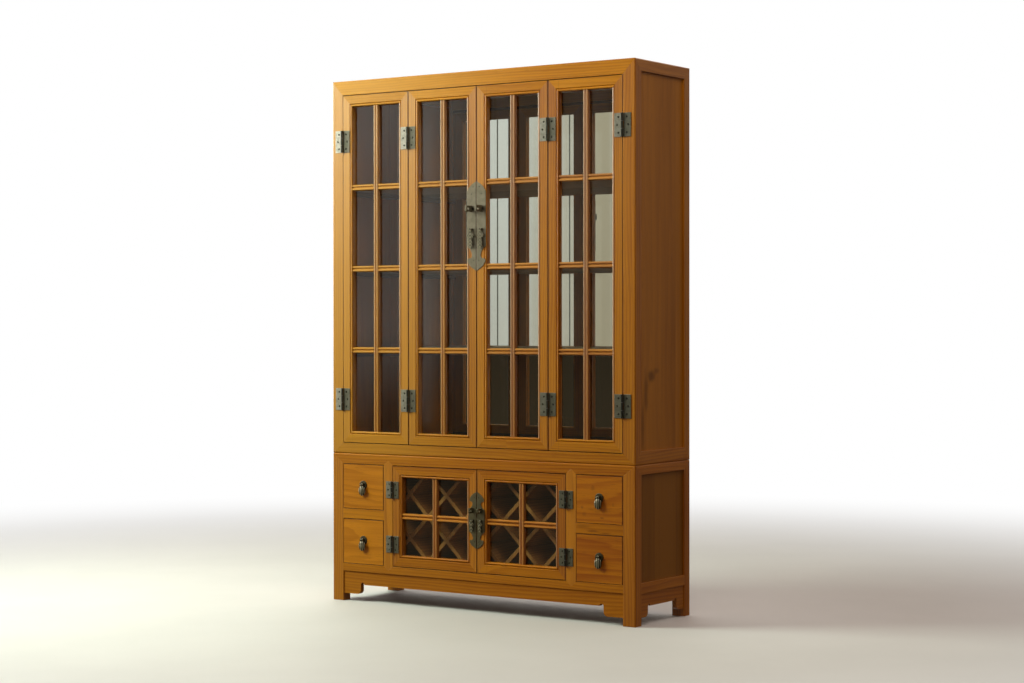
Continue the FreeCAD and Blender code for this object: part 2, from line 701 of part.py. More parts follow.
def build_lower_case():
    """Posts, rails, dividers, boards, panels, aprons and drawer runners of the lower case."""
    post, rails, sides = frame_quarter(
        "lower", 0, s.lower_height, s.lower_top_rail, s.lower_top_side_rail)
    posts, rails, sides = all_round("lower", post, rails, sides)

    divider = prism("divider", "XZ",
                    [(s.door_half_opening, lower_low),
                     (s.door_half_opening + s.divider_width / 2, lower_low - s.joint_tip),
                     (drawer_near, lower_low),
                     (drawer_near, lower_high),
                     (s.door_half_opening + s.divider_width / 2, lower_high + s.joint_tip),
                     (s.door_half_opening, lower_high)],
                    front, inner_front)
    dividers = (divider, across_mirror("left_divider", divider))

    bottom_rail = rounded_block("lower_bottom_rail", (-half_opening, half_opening), (front, inner_front),
                                (s.leg_height, lower_low), (LOW_FRONT,), s.arris_round / 2)
    side_rail = block("lower_bottom_side_rail", (-half_width, -half_opening), (inner_front, inner_back),
                      (s.leg_height, s.leg_height + s.lower_bottom_side_rail))
    drawer_rail = block("drawer_rail", (drawer_near, half_opening), (front, inner_front),
                        (drawer_rail_low, drawer_rail_high))
    rails += [bottom_rail, deep_mirror("lower_back_bottom_rail", bottom_rail),
              drawer_rail, across_mirror("left_drawer_rail", drawer_rail)]
    sides += [side_rail, across_mirror("right_bottom_side_rail", side_rail)]

    panels = side_panels("lower_panel", s.leg_height + s.lower_bottom_side_rail,
                         s.lower_height - s.lower_top_side_rail)
    board = back_board("lower_back_blank", mirror_back, lower_low, lower_high, s.back_board_thickness)
    grooves = group("lower_grooves", *panels, board)
    joints = group("lower_joints", *panels, board, *dividers)
    node("lower_posts", cut("lower_posts_grooved", group("lower_posts_all", *posts), grooves))
    node("lower_rails", cut("lower_rails_jointed", group("lower_rails_all", *rails, *sides), joints))
    node("divider_uprights", *dividers)
    node("lower_panels", *panels, board)
    floor = flat_board("lower_floor", lower_low - s.board_thickness)
    roof = flat_board("lower_roof", s.lower_height - s.board_thickness)
    partition = block("partition", (drawer_near - s.partition_thickness, drawer_near),
                      (inner_front, inner_back), (lower_low, s.lower_height - s.board_thickness))
    node("lower_boards", floor, roof, partition, across_mirror("left_partition", partition))

    deep = (inner_front, inner_back)
    runner_low = drawer_rail_high - s.runner_height
    strips = [
        block("inner_runner", (drawer_near, drawer_near + s.runner_width), deep,
              (runner_low, drawer_rail_high)),
        block("outer_runner", (half_opening - s.runner_width, panel_inside), deep,
              (runner_low, drawer_rail_high)),
        block("upper_guide", (half_opening, panel_inside), deep,
              (drawer_rail_high, drawer_rail_high + s.guide_height)),
        block("lower_guide", (half_opening, panel_inside), deep,
              (s.leg_height + s.lower_bottom_side_rail, lower_low + s.guide_height)),
    ]
    mirrored = [across_mirror("left_" + strip.Name, strip) for strip in strips]
    node("drawer_runners", *strips, *mirrored)

    face = front + s.apron_setback
    front_apron = apron("front_apron", "XZ", -half_opening, half_opening, s.bracket_width,
                        face, face + s.apron_thickness)
    outside = -half_width + s.apron_setback
    side_apron = apron("side_apron", "YZ", inner_front, inner_back, s.side_bracket_width,
                       outside, outside + s.apron_thickness)
    rear = back - s.apron_setback - s.apron_thickness
    node("aprons", front_apron, side_apron, across_mirror("right_apron", side_apron),
         block("back_apron", (-half_opening, half_opening), (rear, rear + s.apron_thickness),
               (s.leg_height - s.apron_height, s.leg_height)))


def build_lattice():
    """Slats that cross in the bottle compartment, halved into each other where they cross."""
    half = drawer_near - s.partition_thickness - s.lattice_fit
    low = lower_low + s.lattice_fit
    high = s.lower_height - s.board_thickness - s.lattice_fit
    near = front + s.lattice_setback
    far = near + s.slat_depth
    crossing = near + s.slat_depth / 2
    room = block("lattice_room", (-half, half), (near, far), (low, high))
    slope = s.cell_height / s.cell_width
    run = (high - low) / slope
    lean = diagonal(s.cell_width, s.cell_height)
    thick = s.slat_thickness * lean / s.cell_height / 2
    most = int((half.value + run.value) / s.cell_width.value) + 1
    rising = []
    for number in range(-most, most + 1):
        foot = s.cell_width * (number + HALF_STEP) - (s.lattice_level - low) / slope
        shortest = s.slat_thickness.value * SHORTEST_SLAT_SHARE
        if foot.value > half.value - shortest or foot.value + run.value < shortest - half.value:
            continue
        corners = [(foot - thick, low), (foot + thick, low), (foot + run + thick, high),
                   (foot + run - thick, high)]
        name = "slat_%d" % (number + most)
        rising.append(common(name, prism(name + "_blank", "XZ", corners, near, far), room))
    falling = [across_mirror("falling_" + slat.Name, slat) for slat in rising]
    front_room = block("front_room", (-half, half), (near, crossing), (low, high))
    back_room = block("back_room", (-half, half), (crossing, far), (low, high))
    rising_cut = cut("rising_slats", group("rising_all", *rising),
                     common("front_halvings", group("falling_tools", *falling), front_room))
    falling_cut = cut("falling_slats", group("falling_all", *falling),
                      common("back_halvings", group("rising_tools", *rising), back_room))
    node("bottle_lattice", rising_cut, falling_cut)


def framed_door(name, left, right, low, high, rows, columns):
    """Mitred door frame with its bead and glass rebate, its glazing bars, and its glass."""
    face = front
    rear = front + s.door_thickness
    glass_near = face + s.glass_setback
    glass_far = glass_near + s.glass_thickness
    width = s.door_frame_width
    bead_round = s.bead_width / 2
    between = (left + right) / 2
    halfway = (low + high) / 2

    def section(outer, flipped):
        """Frame section from its outer edge inwards; flipped swaps the two directions."""
        inner = outer + width
        bead = inner - s.bead_width
        rebate = inner - s.glass_lip
        turn = RIGHT_TURN if flipped else LEFT_TURN
        corners = [
            (outer, face),
            (bead - s.quirk_width, face),
            (bead, face + bead_round, QUARTER_SHARE, turn),
            (bead + bead_round, face, QUARTER_SHARE, turn),
            (inner, face + bead_round),
            (inner, glass_near),
            (rebate, glass_near),
            (rebate, rear),
            (outer, rear),
        ]
        if not flipped:
            return corners
        return [(corner[1], corner[0]) + tuple(corner[2:]) for corner in corners]

    tenon = block(name + "_tenon", (left + s.door_tenon_end, left + width),
                  (face + s.door_tenon_setback, face + s.door_tenon_setback + s.door_tenon_thickness),
                  (low + width / 2 - s.door_tenon_height / 2, low + width / 2 + s.door_tenon_height / 2))
    mitred_stile = common(
        name + "_mitred_stile",
        prism(name + "_stile_length", "XY", section(left, False), low, high),
        prism(name + "_stile_mitre", "XZ",
              [(left, low), (left + width, low + width), (left + width, high - width), (left, high)],
              face, rear))
    stile = cut(name + "_stile", mitred_stile,
                group(name + "_mortises", tenon, high_mirror(name + "_high_tenon", tenon, halfway)))
    mitred_rail = common(
        name + "_mitred_rail",
        prism(name + "_rail_length", "YZ", section(low, True), left, right),
        prism(name + "_rail_mitre", "XZ",
              [(left, low), (right, low), (right - width, low + width), (left + width, low + width)],
              face, rear))
    rail = fused(name + "_rail", mitred_rail, tenon, across_mirror(name + "_right_tenon", tenon, between))
    frame = (stile, across_mirror(name + "_second_stile", stile, between),
             rail, high_mirror(name + "_second_rail", rail, halfway))

    rebate_left = left + width - s.glass_lip
    rebate_low = low + width - s.glass_lip
    rebate_right = left + right - rebate_left
    rebate_high = low + high - rebate_low
    glass = block(name + "_glass", (rebate_left + s.glass_play, rebate_right - s.glass_play),
                  (glass_near, glass_far), (rebate_low + s.glass_play, rebate_high - s.glass_play))

    open_left = left + width
    open_right = right - width
    open_low = low + width
    open_high = high - width
    pane_width = (open_right - open_left) / columns
    pane_height = (open_high - open_low) / rows
    uprights = [open_left + pane_width * column for column in range(1, columns)]
    trim = [prism("%s_upright_bar_%d" % (name, number), "XY",
                  ridged(centre, glass_near, False), open_low, open_high)
            for number, centre in enumerate(uprights, start=1)]
    edges = [open_left]
    for centre in uprights:
        edges += [centre - s.bar_width / 2, centre + s.bar_width / 2]
    edges.append(open_right)
    for row in range(1, rows):
        section_here = ridged(open_low + pane_height * row, glass_near, True)
        for number in range(0, len(edges), 2):
            trim.append(prism("%s_bar_%d_%d" % (name, row, number // 2 + 1), "YZ",
                              section_here, edges[number], edges[number + 1]))
    side_bead = block(name + "_side_bead", (rebate_left, rebate_left + s.stop_bead),
                      (glass_far, rear), (rebate_low, rebate_high))
    low_bead = block(name + "_low_bead", (rebate_left + s.stop_bead, rebate_right - s.stop_bead),
                     (glass_far, rear), (rebate_low, rebate_low + s.stop_bead))
    trim += [side_bead, across_mirror(name + "_second_side_bead", side_bead, between),
             low_bead, high_mirror(name + "_high_bead", low_bead, halfway)]
    return frame, trim, glass


def ridged(centre, seat, flipped):
    """Glazing bar section on the glass: two ridges with a hollow between them."""
    half = s.bar_width / 2
    ridge = (s.bar_width - s.bar_groove) / 2
    shoulder = seat - s.bar_thickness + s.bar_rise
    crown = seat - s.bar_thickness
    one_side = [
        (s.bar_groove / 2, shoulder),
        (s.bar_groove / 2 + ridge * BAR_CROWN_SHARE, crown),
        (half - ridge * BAR_CROWN_SHARE, crown),
        (half, shoulder),
        (half, seat),
    ]
    corners = [(centre - across, deep) for across, deep in reversed(one_side)]
    corners += [(centre + across, deep) for across, deep in one_side]
    if not flipped:
        return corners
    return [(deep, across) for across, deep in corners]


def hinge(name, reach, height):
    """Butt hinge about an upright pin at X 0: the leaf that carries the pin, and the one that swings."""
    pin_deep = front - s.knuckle_radius - s.knuckle_fit
    half = height / 2
    knuckle_end = height / HINGE_KNUCKLES / 2
    inner = s.knuckle_radius + s.knuckle_fit
    plate = (front - s.leaf_thickness, front)
    carrying = fused(
        name + "_carrying_leaf",
        block(name + "_carrying_plate", (-reach, -inner), plate, (-half, half)),
        block(name + "_top_tongue", (-inner, 0), plate, (knuckle_end, half)),
        block(name + "_low_tongue", (-inner, 0), plate, (-half, -knuckle_end)),
        rod(name + "_top_knuckle", (0, pin_deep), s.knuckle_radius, knuckle_end, half, "Z"),
        rod(name + "_low_knuckle", (0, pin_deep), s.knuckle_radius, -half, -knuckle_end, "Z"),
        rod(name + "_pin", (0, pin_deep), s.pin_radius, -half, half, "Z"))
    middle = (-knuckle_end + s.knuckle_fit, knuckle_end - s.knuckle_fit)
    solid = fused(
        name + "_swinging_blank",
        block(name + "_swinging_plate", (inner, reach), plate, (-half, half)),
        block(name + "_middle_tongue", (0, inner), plate, middle),
        rod(name + "_middle_knuckle", (0, pin_deep), s.knuckle_radius, *middle, "Z"))
    swinging = cut(name + "_swinging_leaf", solid,
                   rod(name + "_bore", (0, pin_deep), s.pin_radius + s.pin_fit, -half, half, "Z"))
    return carrying, swinging


def both_sides(right):
    """Whole outline from its right half, which runs from the bottom middle up to a flat top."""
    left = []
    for number in range(len(right) - 1, 0, -1):
        across, up = right[number][:2]
        left.append((-across, up) + tuple(right[number - 1][2:]))
    return list(right) + left


def swing_ears(name, face, level, setback, across):
    """Two ears on a plate and the pin between them, which a pendant or drop hangs on."""
    deep = face - setback
    inner = s.ear_gap / 2
    outer = inner + s.ear_thickness
    pieces = [rod(name + "_pin", (deep, level), s.swing_radius, across - outer, across + outer, "X")]
    for side, low, high in (("right", across + inner, across + outer),
                            ("left", across - outer, across - inner)):
        pieces += [
            rod("%s_%s_round" % (name, side), (deep, level), s.ear_radius, low, high, "X"),
            block("%s_%s_foot" % (name, side), (low, high), (deep, face),
                  (level - s.ear_radius, level + s.ear_radius)),
        ]
    return pieces


def bored_ring(name, body, face, level, setback):
    """A hanging body joined to its ring, bored for the pin it swings on, at X 0."""
    deep = face - setback
    half = s.ear_gap / 2 - s.side_play
    ring = rod(name + "_ring", (deep, level), s.ring_radius, -half, half, "X")
    bore = rod(name + "_bore", (deep, level), s.swing_radius + s.swing_fit, -half, half, "X")
    return cut(name, fused(name + "_blank", body, ring), bore)


def lock_plate(name, width, height, base, shares, staple, pull_rise):
    """Right lock plate with its padlock staple and the ears of its pendant; the left is its mirror."""
    reach, tall, thick, eye, rise = staple
    corners = [(s.plate_gap + width * share[0], base + height * share[1]) + tuple(share[2:])
               for share in shares]
    face = front - s.leaf_thickness
    between = s.plate_gap + width / 2
    half = tall / 2
    soft = s.staple_round
    level = base + rise
    nose = face - reach
    sides = (between - thick / 2, between + thick / 2)
    tongue = prism(name + "_tongue", "YZ",
                   [(nose + soft, level - half),
                    (face, level - half),
                    (face, level + half),
                    (nose + soft, level + half, QUARTER_SHARE, LEFT_TURN),
                    (nose, level + half - soft),
                    (nose, level - half + soft, QUARTER_SHARE, LEFT_TURN)],
                   *sides)
    solid = fused(name + "_joined", prism(name + "_plate", "XZ", corners, face, front), tongue,
                  *swing_ears(name + "_ears", face, base + pull_rise, s.pendant_setback, between))
    return cut(name, solid, rod(name + "_eye", (nose + half, level), eye, *sides, "X"))


def pendant(name, width, length, level):
    """Flat bell-shaped pendant under its ring, at X 0."""
    face = front - s.leaf_thickness
    deep = face - s.pendant_setback
    neck = s.ear_gap / 2 - s.side_play
    right = [(width * share[0], level - length * share[1]) + tuple(share[2:])
             for share in pendant_shares]
    right += [(neck, level - s.ear_radius * 2), (neck, level - (s.ring_radius + s.swing_radius) / 2)]
    body = prism(name + "_body", "XZ", both_sides(right),
                 deep - s.pull_thickness / 2, deep + s.pull_thickness / 2)
    return bored_ring(name, body, face, level, s.pendant_setback)


def turned(name, plane, axis, corners):
    """Body turned about one axis of its sketch, on an origin plane."""
    body = doc.addObject("PartDesign::Body", name)
    base = [feature for feature in body.Origin.OriginFeatures if feature.Role == plane][0]
    sketch = body.newObject("Sketcher::SketchObject", name + "_profile")
    sketch.AttachmentSupport = [(base, "")]
    sketch.MapMode = "FlatFace"
    draw(sketch, corners)
    revolution = body.newObject("PartDesign::Revolution", name + "_turned")
    revolution.Profile = sketch
    revolution.ReferenceAxis = (sketch, [axis])
    revolution.Angle = 360
    return body


def build_doors():
    """All six doors with their hinges, lock plates and pendants, the right ones mirrored."""
    pitch = half_opening / 2
    low = upper_low + s.door_play
    high = upper_high - s.door_play
    upper_carrying, upper_swinging = hinge("upper_hinge", s.upper_leaf_reach, s.upper_leaf_height)
    lower_carrying, lower_swinging = hinge("lower_hinge", s.lower_leaf_reach, s.lower_leaf_height)
    upper_levels = (upper_low + s.upper_hinge_rise, upper_high - s.upper_hinge_drop)
    lower_levels = (lower_low + s.lower_hinge_rise, lower_high - s.lower_hinge_drop)

    def leaves(name, leaf, across, levels):
        """The same leaf at both levels."""
        return [copied("%s_%d" % (name, number), leaf, across, level)
                for number, level in enumerate(levels, start=1)]

    def both(label, *shapes):
        """A left piece and its mirror image on the right."""
        node(label % "left", *shapes)
        node(label % "right", *[across_mirror("right_" + shape.Name, shape) for shape in shapes])

    case_leaves = leaves("upper_case_leaf", upper_carrying, -half_opening, upper_levels)
    case_leaves += leaves("lower_case_leaf", lower_carrying, -s.door_half_opening, lower_levels)
    node("case_hinge_leaves", *case_leaves,
         *[across_mirror("right_" + leaf.Name, leaf) for leaf in case_leaves])

    outer = -half_opening
    frame, trim, glass = framed_door("upper_door", outer + s.door_reveal, outer + pitch - s.door_reveal,
                                     low, high, UPPER_ROWS, UPPER_COLUMNS)
    both("upper_%s_outer_frame", *frame)
    both("upper_%s_outer_glazing_bars", *trim)
    both("upper_%s_outer_glass", glass)
    both("upper_%s_outer_hinge_leaves",
         *leaves("outer_swinging", upper_swinging, outer, upper_levels),
         *leaves("outer_carrying", upper_carrying, outer + pitch, upper_levels))
    inner = [group("inner_" + label, *shapes) for label, shapes in
             (("frame", frame), ("bars", trim), ("glass", (glass,)))]
    for piece in inner:
        bind(piece, "Placement.Base.x", pitch)
    for label, piece in zip(("frame", "glazing_bars", "glass"), inner):
        both("upper_%s_inner_" + label, piece)
    both("upper_%s_inner_hinge_leaves",
         *leaves("inner_swinging", upper_swinging, outer + pitch, upper_levels))

    frame, trim, glass = framed_door("lower_door", -s.door_half_opening + s.door_reveal, -s.door_reveal,
                                     lower_low + s.door_play, lower_high - s.door_play,
                                     LOWER_ROWS, LOWER_COLUMNS)
    both("lower_%s_door_frame", *frame)
    both("lower_%s_door_glazing_bars", *trim)
    both("lower_%s_door_glass", glass)
    both("lower_%s_door_hinge_leaves",
         *leaves("lower_swinging", lower_swinging, -s.door_half_opening, lower_levels))

    for label, width, height, base, shares, staple, pull_rise, pull in (
            ("upper", s.upper_plate_width, s.upper_plate_height, s.upper_plate_base, upper_plate_shares,
             (s.staple_reach, s.staple_height, s.staple_thickness, s.staple_eye, s.staple_rise),
             s.upper_pull_rise, (s.upper_pull_width, s.upper_pull_length)),
            ("lower", s.lower_plate_width, s.lower_plate_height, s.lower_plate_base, lower_plate_shares,
             (s.small_staple_reach, s.small_staple_height, s.small_staple_thickness, s.small_staple_eye,
              s.small_staple_rise),
             s.lower_pull_rise, (s.lower_pull_width, s.lower_pull_length))):
        right = lock_plate(label + "_lock", width, height, base, shares, staple, pull_rise)
        node(label + "_right_lock_plate", right)
        node(label + "_left_lock_plate", across_mirror(label + "_left_lock", right))
        hanging = pendant(label + "_pull", *pull, base + pull_rise)
        between = s.plate_gap + width / 2
        node(label + "_right_pendant", hanging, across=between)
        node(label + "_left_pendant", hanging, across=-between)


def build_drawers():
    """Four drawers alike, each with the rose and the drop of its pull."""
    left = drawer_near + s.drawer_play
    right = half_opening - s.drawer_play
    far = front + s.drawer_front_thickness + s.drawer_box_depth
    box_near = front + s.drawer_front_thickness
    runs_on = lower_low
    face_low = runs_on + s.drawer_play
    face_high = runs_on + drawer_room - s.drawer_play
    box_low = runs_on + s.drawer_lift
    box_high = face_high - s.drawer_box_drop
    floor_low = box_low + s.drawer_floor_rise
    wall = s.drawer_wall
    tail_end = box_near - s.tail_length
    step = (box_high - box_low) / DOVETAILS
    tails = []
    for number in range(DOVETAILS):
        level = box_low + step * (number + HALF_STEP)
        root = s.tail_width / 2
        tails.append(prism("drawer_tail_%d" % (number + 1), "YZ",
                           [(tail_end, level - root - s.tail_flare), (box_near, level - root),
                            (box_near, level + root), (tail_end, level + root + s.tail_flare)],
                           left, left + wall))
    side_tails = group("drawer_tails", *tails)
    other_tails = across_mirror("drawer_other_tails", side_tails, (left + right) / 2)
    side = fused("drawer_side", block("drawer_side_board", (left, left + wall), (box_near, far),
                                      (box_low, box_high)), *tails)
    box = [
        cut("drawer_front", block("drawer_front_board", (left, right), (front, box_near),
                                  (face_low, face_high)),
            group("drawer_sockets", side_tails, other_tails)),
        side,
        across_mirror("drawer_outer_side", side, (left + right) / 2),
        block("drawer_back", (left + wall, right - wall), (far - wall, far),
              (floor_low + s.drawer_floor, box_high)),
        block("drawer_bottom", (left + wall, right - wall), (box_near, far),
              (floor_low, floor_low + s.drawer_floor)),
    ]
    face = front - s.rose_thickness
    rose_level = (face_low + face_high) / 2 + s.rose_rise
    pin_level = rose_level + s.drop_rise
    radius = s.rose_radius
    thick = s.rose_thickness
    rose_disc = turned("rose_disc", "YZ_Plane", "H_Axis", [
        (0, 0),
        (0, radius),
        (-thick * ROSE_RIM_SHARE, radius, QUARTER_SHARE, LEFT_TURN),
        (-thick, radius - thick * (1 - ROSE_RIM_SHARE)),
        (-thick, 0),
    ])
    bind(rose_disc, "Placement.Base.y", front)
    bind(rose_disc, "Placement.Base.z", rose_level)
    rose = fused("rose", rose_disc, *swing_ears("rose_ears", face, pin_level, s.drop_setback, 0))
    pin_deep = face - s.drop_setback
    drop_middle = pin_level - s.drop_length + s.drop_height / 2
    melon = doc.addObject("Part::Ellipsoid", "drop_melon")
    bind(melon, "Radius1", s.drop_height / 2)
    bind(melon, "Radius2", s.drop_width / 2)
    bind(melon, "Radius3", s.drop_depth / 2)
    bind(melon, "Placement.Base.y", pin_deep)
    bind(melon, "Placement.Base.z", drop_middle)
    neck = block("drop_neck", (-s.drop_neck / 2, s.drop_neck / 2),
                 (pin_deep - s.pull_thickness / 2, pin_deep + s.pull_thickness / 2),
                 (drop_middle, pin_level - (s.ring_radius + s.swing_radius) / 2))
    drop = bored_ring("drop", fused("drop_body", melon, neck), face, pin_level, s.drop_setback)
    rise = drawer_room + s.drawer_rail
    between = (left + right) / 2
    for level, up in (("lower", 0), ("upper", rise)):
        for hand, across in (("right", 0), ("left", -between * 2)):
            node("%s_%s_drawer_box" % (level, hand), *box, across=across, up=up)
        for hand, sign in (("right", 1), ("left", -1)):
            node("%s_%s_drawer_rose" % (level, hand), rose, across=between * sign, up=up)
            node("%s_%s_drawer_drop" % (level, hand), drop, across=between * sign, up=up)


def check(objects):
    """Stop when an object failed, or when its shape is empty or not valid."""
    for thing in objects:
        if "Invalid" in thing.State or "Error" in thing.State:
            raise RuntimeError("%s failed: %s" % (thing.Label, thing.State))
    for piece in nodes:
        if piece.Shape.isNull() or not piece.Shape.isValid() or not piece.Shape.Solids:
            raise RuntimeError("%s has no valid shape" % piece.Label)


build_upper_case()
build_lower_case()
build_lattice()
build_doors()
build_drawers()
doc.recompute()
check(doc.Objects)
os.makedirs("parts", exist_ok=True)
for piece in nodes:
    piece.Shape.exportStep("parts/%s.step" % piece.Label)
    print(piece.Label, len(piece.Shape.Solids), "solids")
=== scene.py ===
"""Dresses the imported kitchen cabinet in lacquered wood, old brass, glass and mirror, in a plain studio."""

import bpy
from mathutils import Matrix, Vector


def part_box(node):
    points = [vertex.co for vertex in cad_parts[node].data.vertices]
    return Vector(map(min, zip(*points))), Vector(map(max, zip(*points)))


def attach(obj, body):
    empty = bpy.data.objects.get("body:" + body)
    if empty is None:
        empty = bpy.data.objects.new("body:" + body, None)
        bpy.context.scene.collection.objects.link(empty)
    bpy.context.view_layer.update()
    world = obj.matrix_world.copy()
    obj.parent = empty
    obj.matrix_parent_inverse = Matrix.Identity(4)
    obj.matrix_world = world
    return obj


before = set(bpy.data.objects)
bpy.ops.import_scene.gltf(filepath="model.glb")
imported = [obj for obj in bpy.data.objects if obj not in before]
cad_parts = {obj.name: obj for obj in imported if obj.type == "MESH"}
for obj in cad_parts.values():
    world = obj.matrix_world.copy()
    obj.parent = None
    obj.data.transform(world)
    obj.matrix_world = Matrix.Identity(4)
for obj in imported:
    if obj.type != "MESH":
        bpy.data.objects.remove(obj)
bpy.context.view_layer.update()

import logging
import math
from dataclasses import dataclass, replace
from enum import Enum
from typing import Iterable, Sequence, Union

import bmesh
import bpy
from mathutils import Matrix, Vector

log = logging.getLogger("cabinet")

Socket = bpy.types.NodeSocket
Colour = tuple[float, float, float]
Feed = Union[Socket, float, Sequence[float]]
Point = tuple[float, float, float]


class Hand(Enum):
    """Side of the cabinet as seen from the front, with the sign of its X."""

    LEFT = ("left", -1.0)
    RIGHT = ("right", 1.0)

    @property
    def word(self) -> str:
        """Word used in the names of pieces."""
        return self.value[0]

    @property
    def sign(self) -> float:
        """Sign of X on this side."""
        return self.value[1]


class Level(Enum):
    """Upper or lower piece of a kind."""

    UPPER = "upper"
    LOWER = "lower"


class SocketKind(Enum):
    """Kinds of socket that a shared effect takes and gives."""

    NUMBER = "NodeSocketFloat"
    COLOUR = "NodeSocketColor"
    VECTOR = "NodeSocketVector"


class Graph:
    """Adds nodes to one node tree and joins them up."""

    def __init__(self, tree: bpy.types.NodeTree) -> None:
        """Starts on a node tree.

        Args:
            tree: The node tree that grows.
        """
        self.tree = tree

    def node(self, kind: str, **settings: object) -> bpy.types.Node:
        """Adds one node.

        Args:
            kind: Blender's name for the node type.
            settings: Properties of the node.

        Returns:
            The new node.
        """
        made = self.tree.nodes.new(kind)
        for name, value in settings.items():
            setattr(made, name, value)
        return made

    def feed(self, target: Socket, source: Feed) -> None:
        """Links a socket to the target, or sets a plain value on it.

        Args:
            target: Input socket.
            source: Output socket, number, vector or colour.
        """
        if isinstance(source, bpy.types.NodeSocket):
            self.tree.links.new(source, target)
        elif target.type == "RGBA" and not isinstance(source, (int, float)) and len(source) == 3:
            target.default_value = (*source, 1.0)
        else:
            target.default_value = source

    def maths(self, operation: str, *values: Feed, clamp: bool = False) -> Socket:
        """Arithmetic on numbers.

        Args:
            operation: Math node operation.
            values: Its inputs in order.
            clamp: Keep the result between 0 and 1.

        Returns:
            The result.
        """
        made = self.node("ShaderNodeMath", operation=operation, use_clamp=clamp)
        for socket, value in zip(made.inputs, values):
            self.feed(socket, value)
        return made.outputs[0]

    def vectors(self, operation: str, *values: Feed) -> Socket:
        """Arithmetic on vectors.

        Args:
            operation: Vector Math node operation.
            values: Its vector inputs in order.

        Returns:
            The vector, or the number where the operation gives one.
        """
        made = self.node("ShaderNodeVectorMath", operation=operation)
        for socket, value in zip(made.inputs, values):
            self.feed(socket, value)
        gives_number = operation in {"LENGTH", "DOT_PRODUCT", "DISTANCE"}
        return made.outputs["Value" if gives_number else "Vector"]

    def split(self, vector: Socket) -> tuple[Socket, Socket, Socket]:
        """X, Y and Z of a vector.

        Args:
            vector: Vector socket.

        Returns:
            Its three numbers.
        """
        made = self.node("ShaderNodeSeparateXYZ")
        self.feed(made.inputs[0], vector)
        return made.outputs[0], made.outputs[1], made.outputs[2]

    def merge(self, x: Feed, y: Feed, z: Feed) -> Socket:
        """Vector of three numbers.

        Args:
            x: First number.
            y: Second number.
            z: Third number.

        Returns:
            The vector.
        """
        made = self.node("ShaderNodeCombineXYZ")
        for socket, value in zip(made.inputs, (x, y, z)):
            self.feed(socket, value)
        return made.outputs[0]

    def blend(self, mask: Feed, low: Feed, high: Feed) -> Socket:
        """Mixes two colours.

        Args:
            mask: 0 for the low colour, 1 for the high one.
            low: Colour at 0.
            high: Colour at 1.

        Returns:
            The mixed colour.
        """
        made = self.node("ShaderNodeMix", data_type="RGBA", blend_type="MIX")
        self.feed(made.inputs["Factor"], mask)
        self.feed(made.inputs[6], low)
        self.feed(made.inputs[7], high)
        return made.outputs[2]

    def choose(self, mask: Feed, low: Feed, high: Feed) -> Socket:
        """Mixes two vectors.

        Args:
            mask: 0 for the low vector, 1 for the high one.
            low: Vector at 0.
            high: Vector at 1.

        Returns:
            The mixed vector.
        """
        made = self.node("ShaderNodeMix", data_type="VECTOR")
        self.feed(made.inputs["Factor"], mask)
        self.feed(made.inputs[4], low)
        self.feed(made.inputs[5], high)
        return made.outputs[1]

    def stretch(self, value: Socket, low: float, high: float, to_low: float = 0.0,
                to_high: float = 1.0) -> Socket:
        """Maps one range to another and holds the ends.

        Args:
            value: Number to map.
            low: Where the first range starts.
            high: Where it ends.
            to_low: Result at its start.
            to_high: Result at its end.

        Returns:
            The mapped number.
        """
        made = self.node("ShaderNodeMapRange", interpolation_type="SMOOTHSTEP")
        for socket, entry in zip(made.inputs, (value, low, high, to_low, to_high)):
            self.feed(socket, entry)
        return made.outputs[0]

    def output(self) -> bpy.types.Node:
        """Finds the material's output node, or makes it on first use.

        Returns:
            The node.
        """
        kind = "ShaderNodeOutputMaterial"
        found = [node for node in self.tree.nodes if node.bl_idname == kind]
        return found[0] if found else self.node(kind)

    def swap_shader(self, mask: Socket, plain: Socket, other: Socket) -> None:
        """Shows one shader where the mask is 0 and another where it is 1.

        Args:
            mask: Which shader is shown.
            plain: Shader at 0.
            other: Shader at 1.
        """
        mixed = self.node("ShaderNodeMixShader")
        for socket, source in zip(mixed.inputs, (mask, plain, other)):
            self.feed(socket, source)
        self.feed(self.output().inputs["Surface"], mixed.outputs[0])

    def looked_at(self) -> Socket:
        """Tells rays that look at things from rays that light them.

        Returns:
            1 for rays from the camera, from gloss and through glass, and 0 for the others.
        """
        rays = self.node("ShaderNodeLightPath").outputs
        return self.maths("MAXIMUM", rays["Is Camera Ray"],
                          self.maths("MAXIMUM", rays["Is Glossy Ray"], rays["Is Transmission Ray"]))

    def noise(self, position: Socket, scale: Feed, detail: float = 3.0, rough: float = 0.55) -> Socket:
        """Cloudy noise around 0.5.

        Args:
            position: Where it is read.
            scale: Scale along each axis, as a vector.
            detail: Octaves.
            rough: Weight of the finer octaves.

        Returns:
            The noise value.
        """
        made = self.node("ShaderNodeTexNoise")
        self.feed(made.inputs["Vector"], self.vectors("MULTIPLY", position, scale))
        made.inputs["Scale"].default_value = 1.0
        made.inputs["Detail"].default_value = detail
        made.inputs["Roughness"].default_value = rough
        return made.outputs["Fac"]


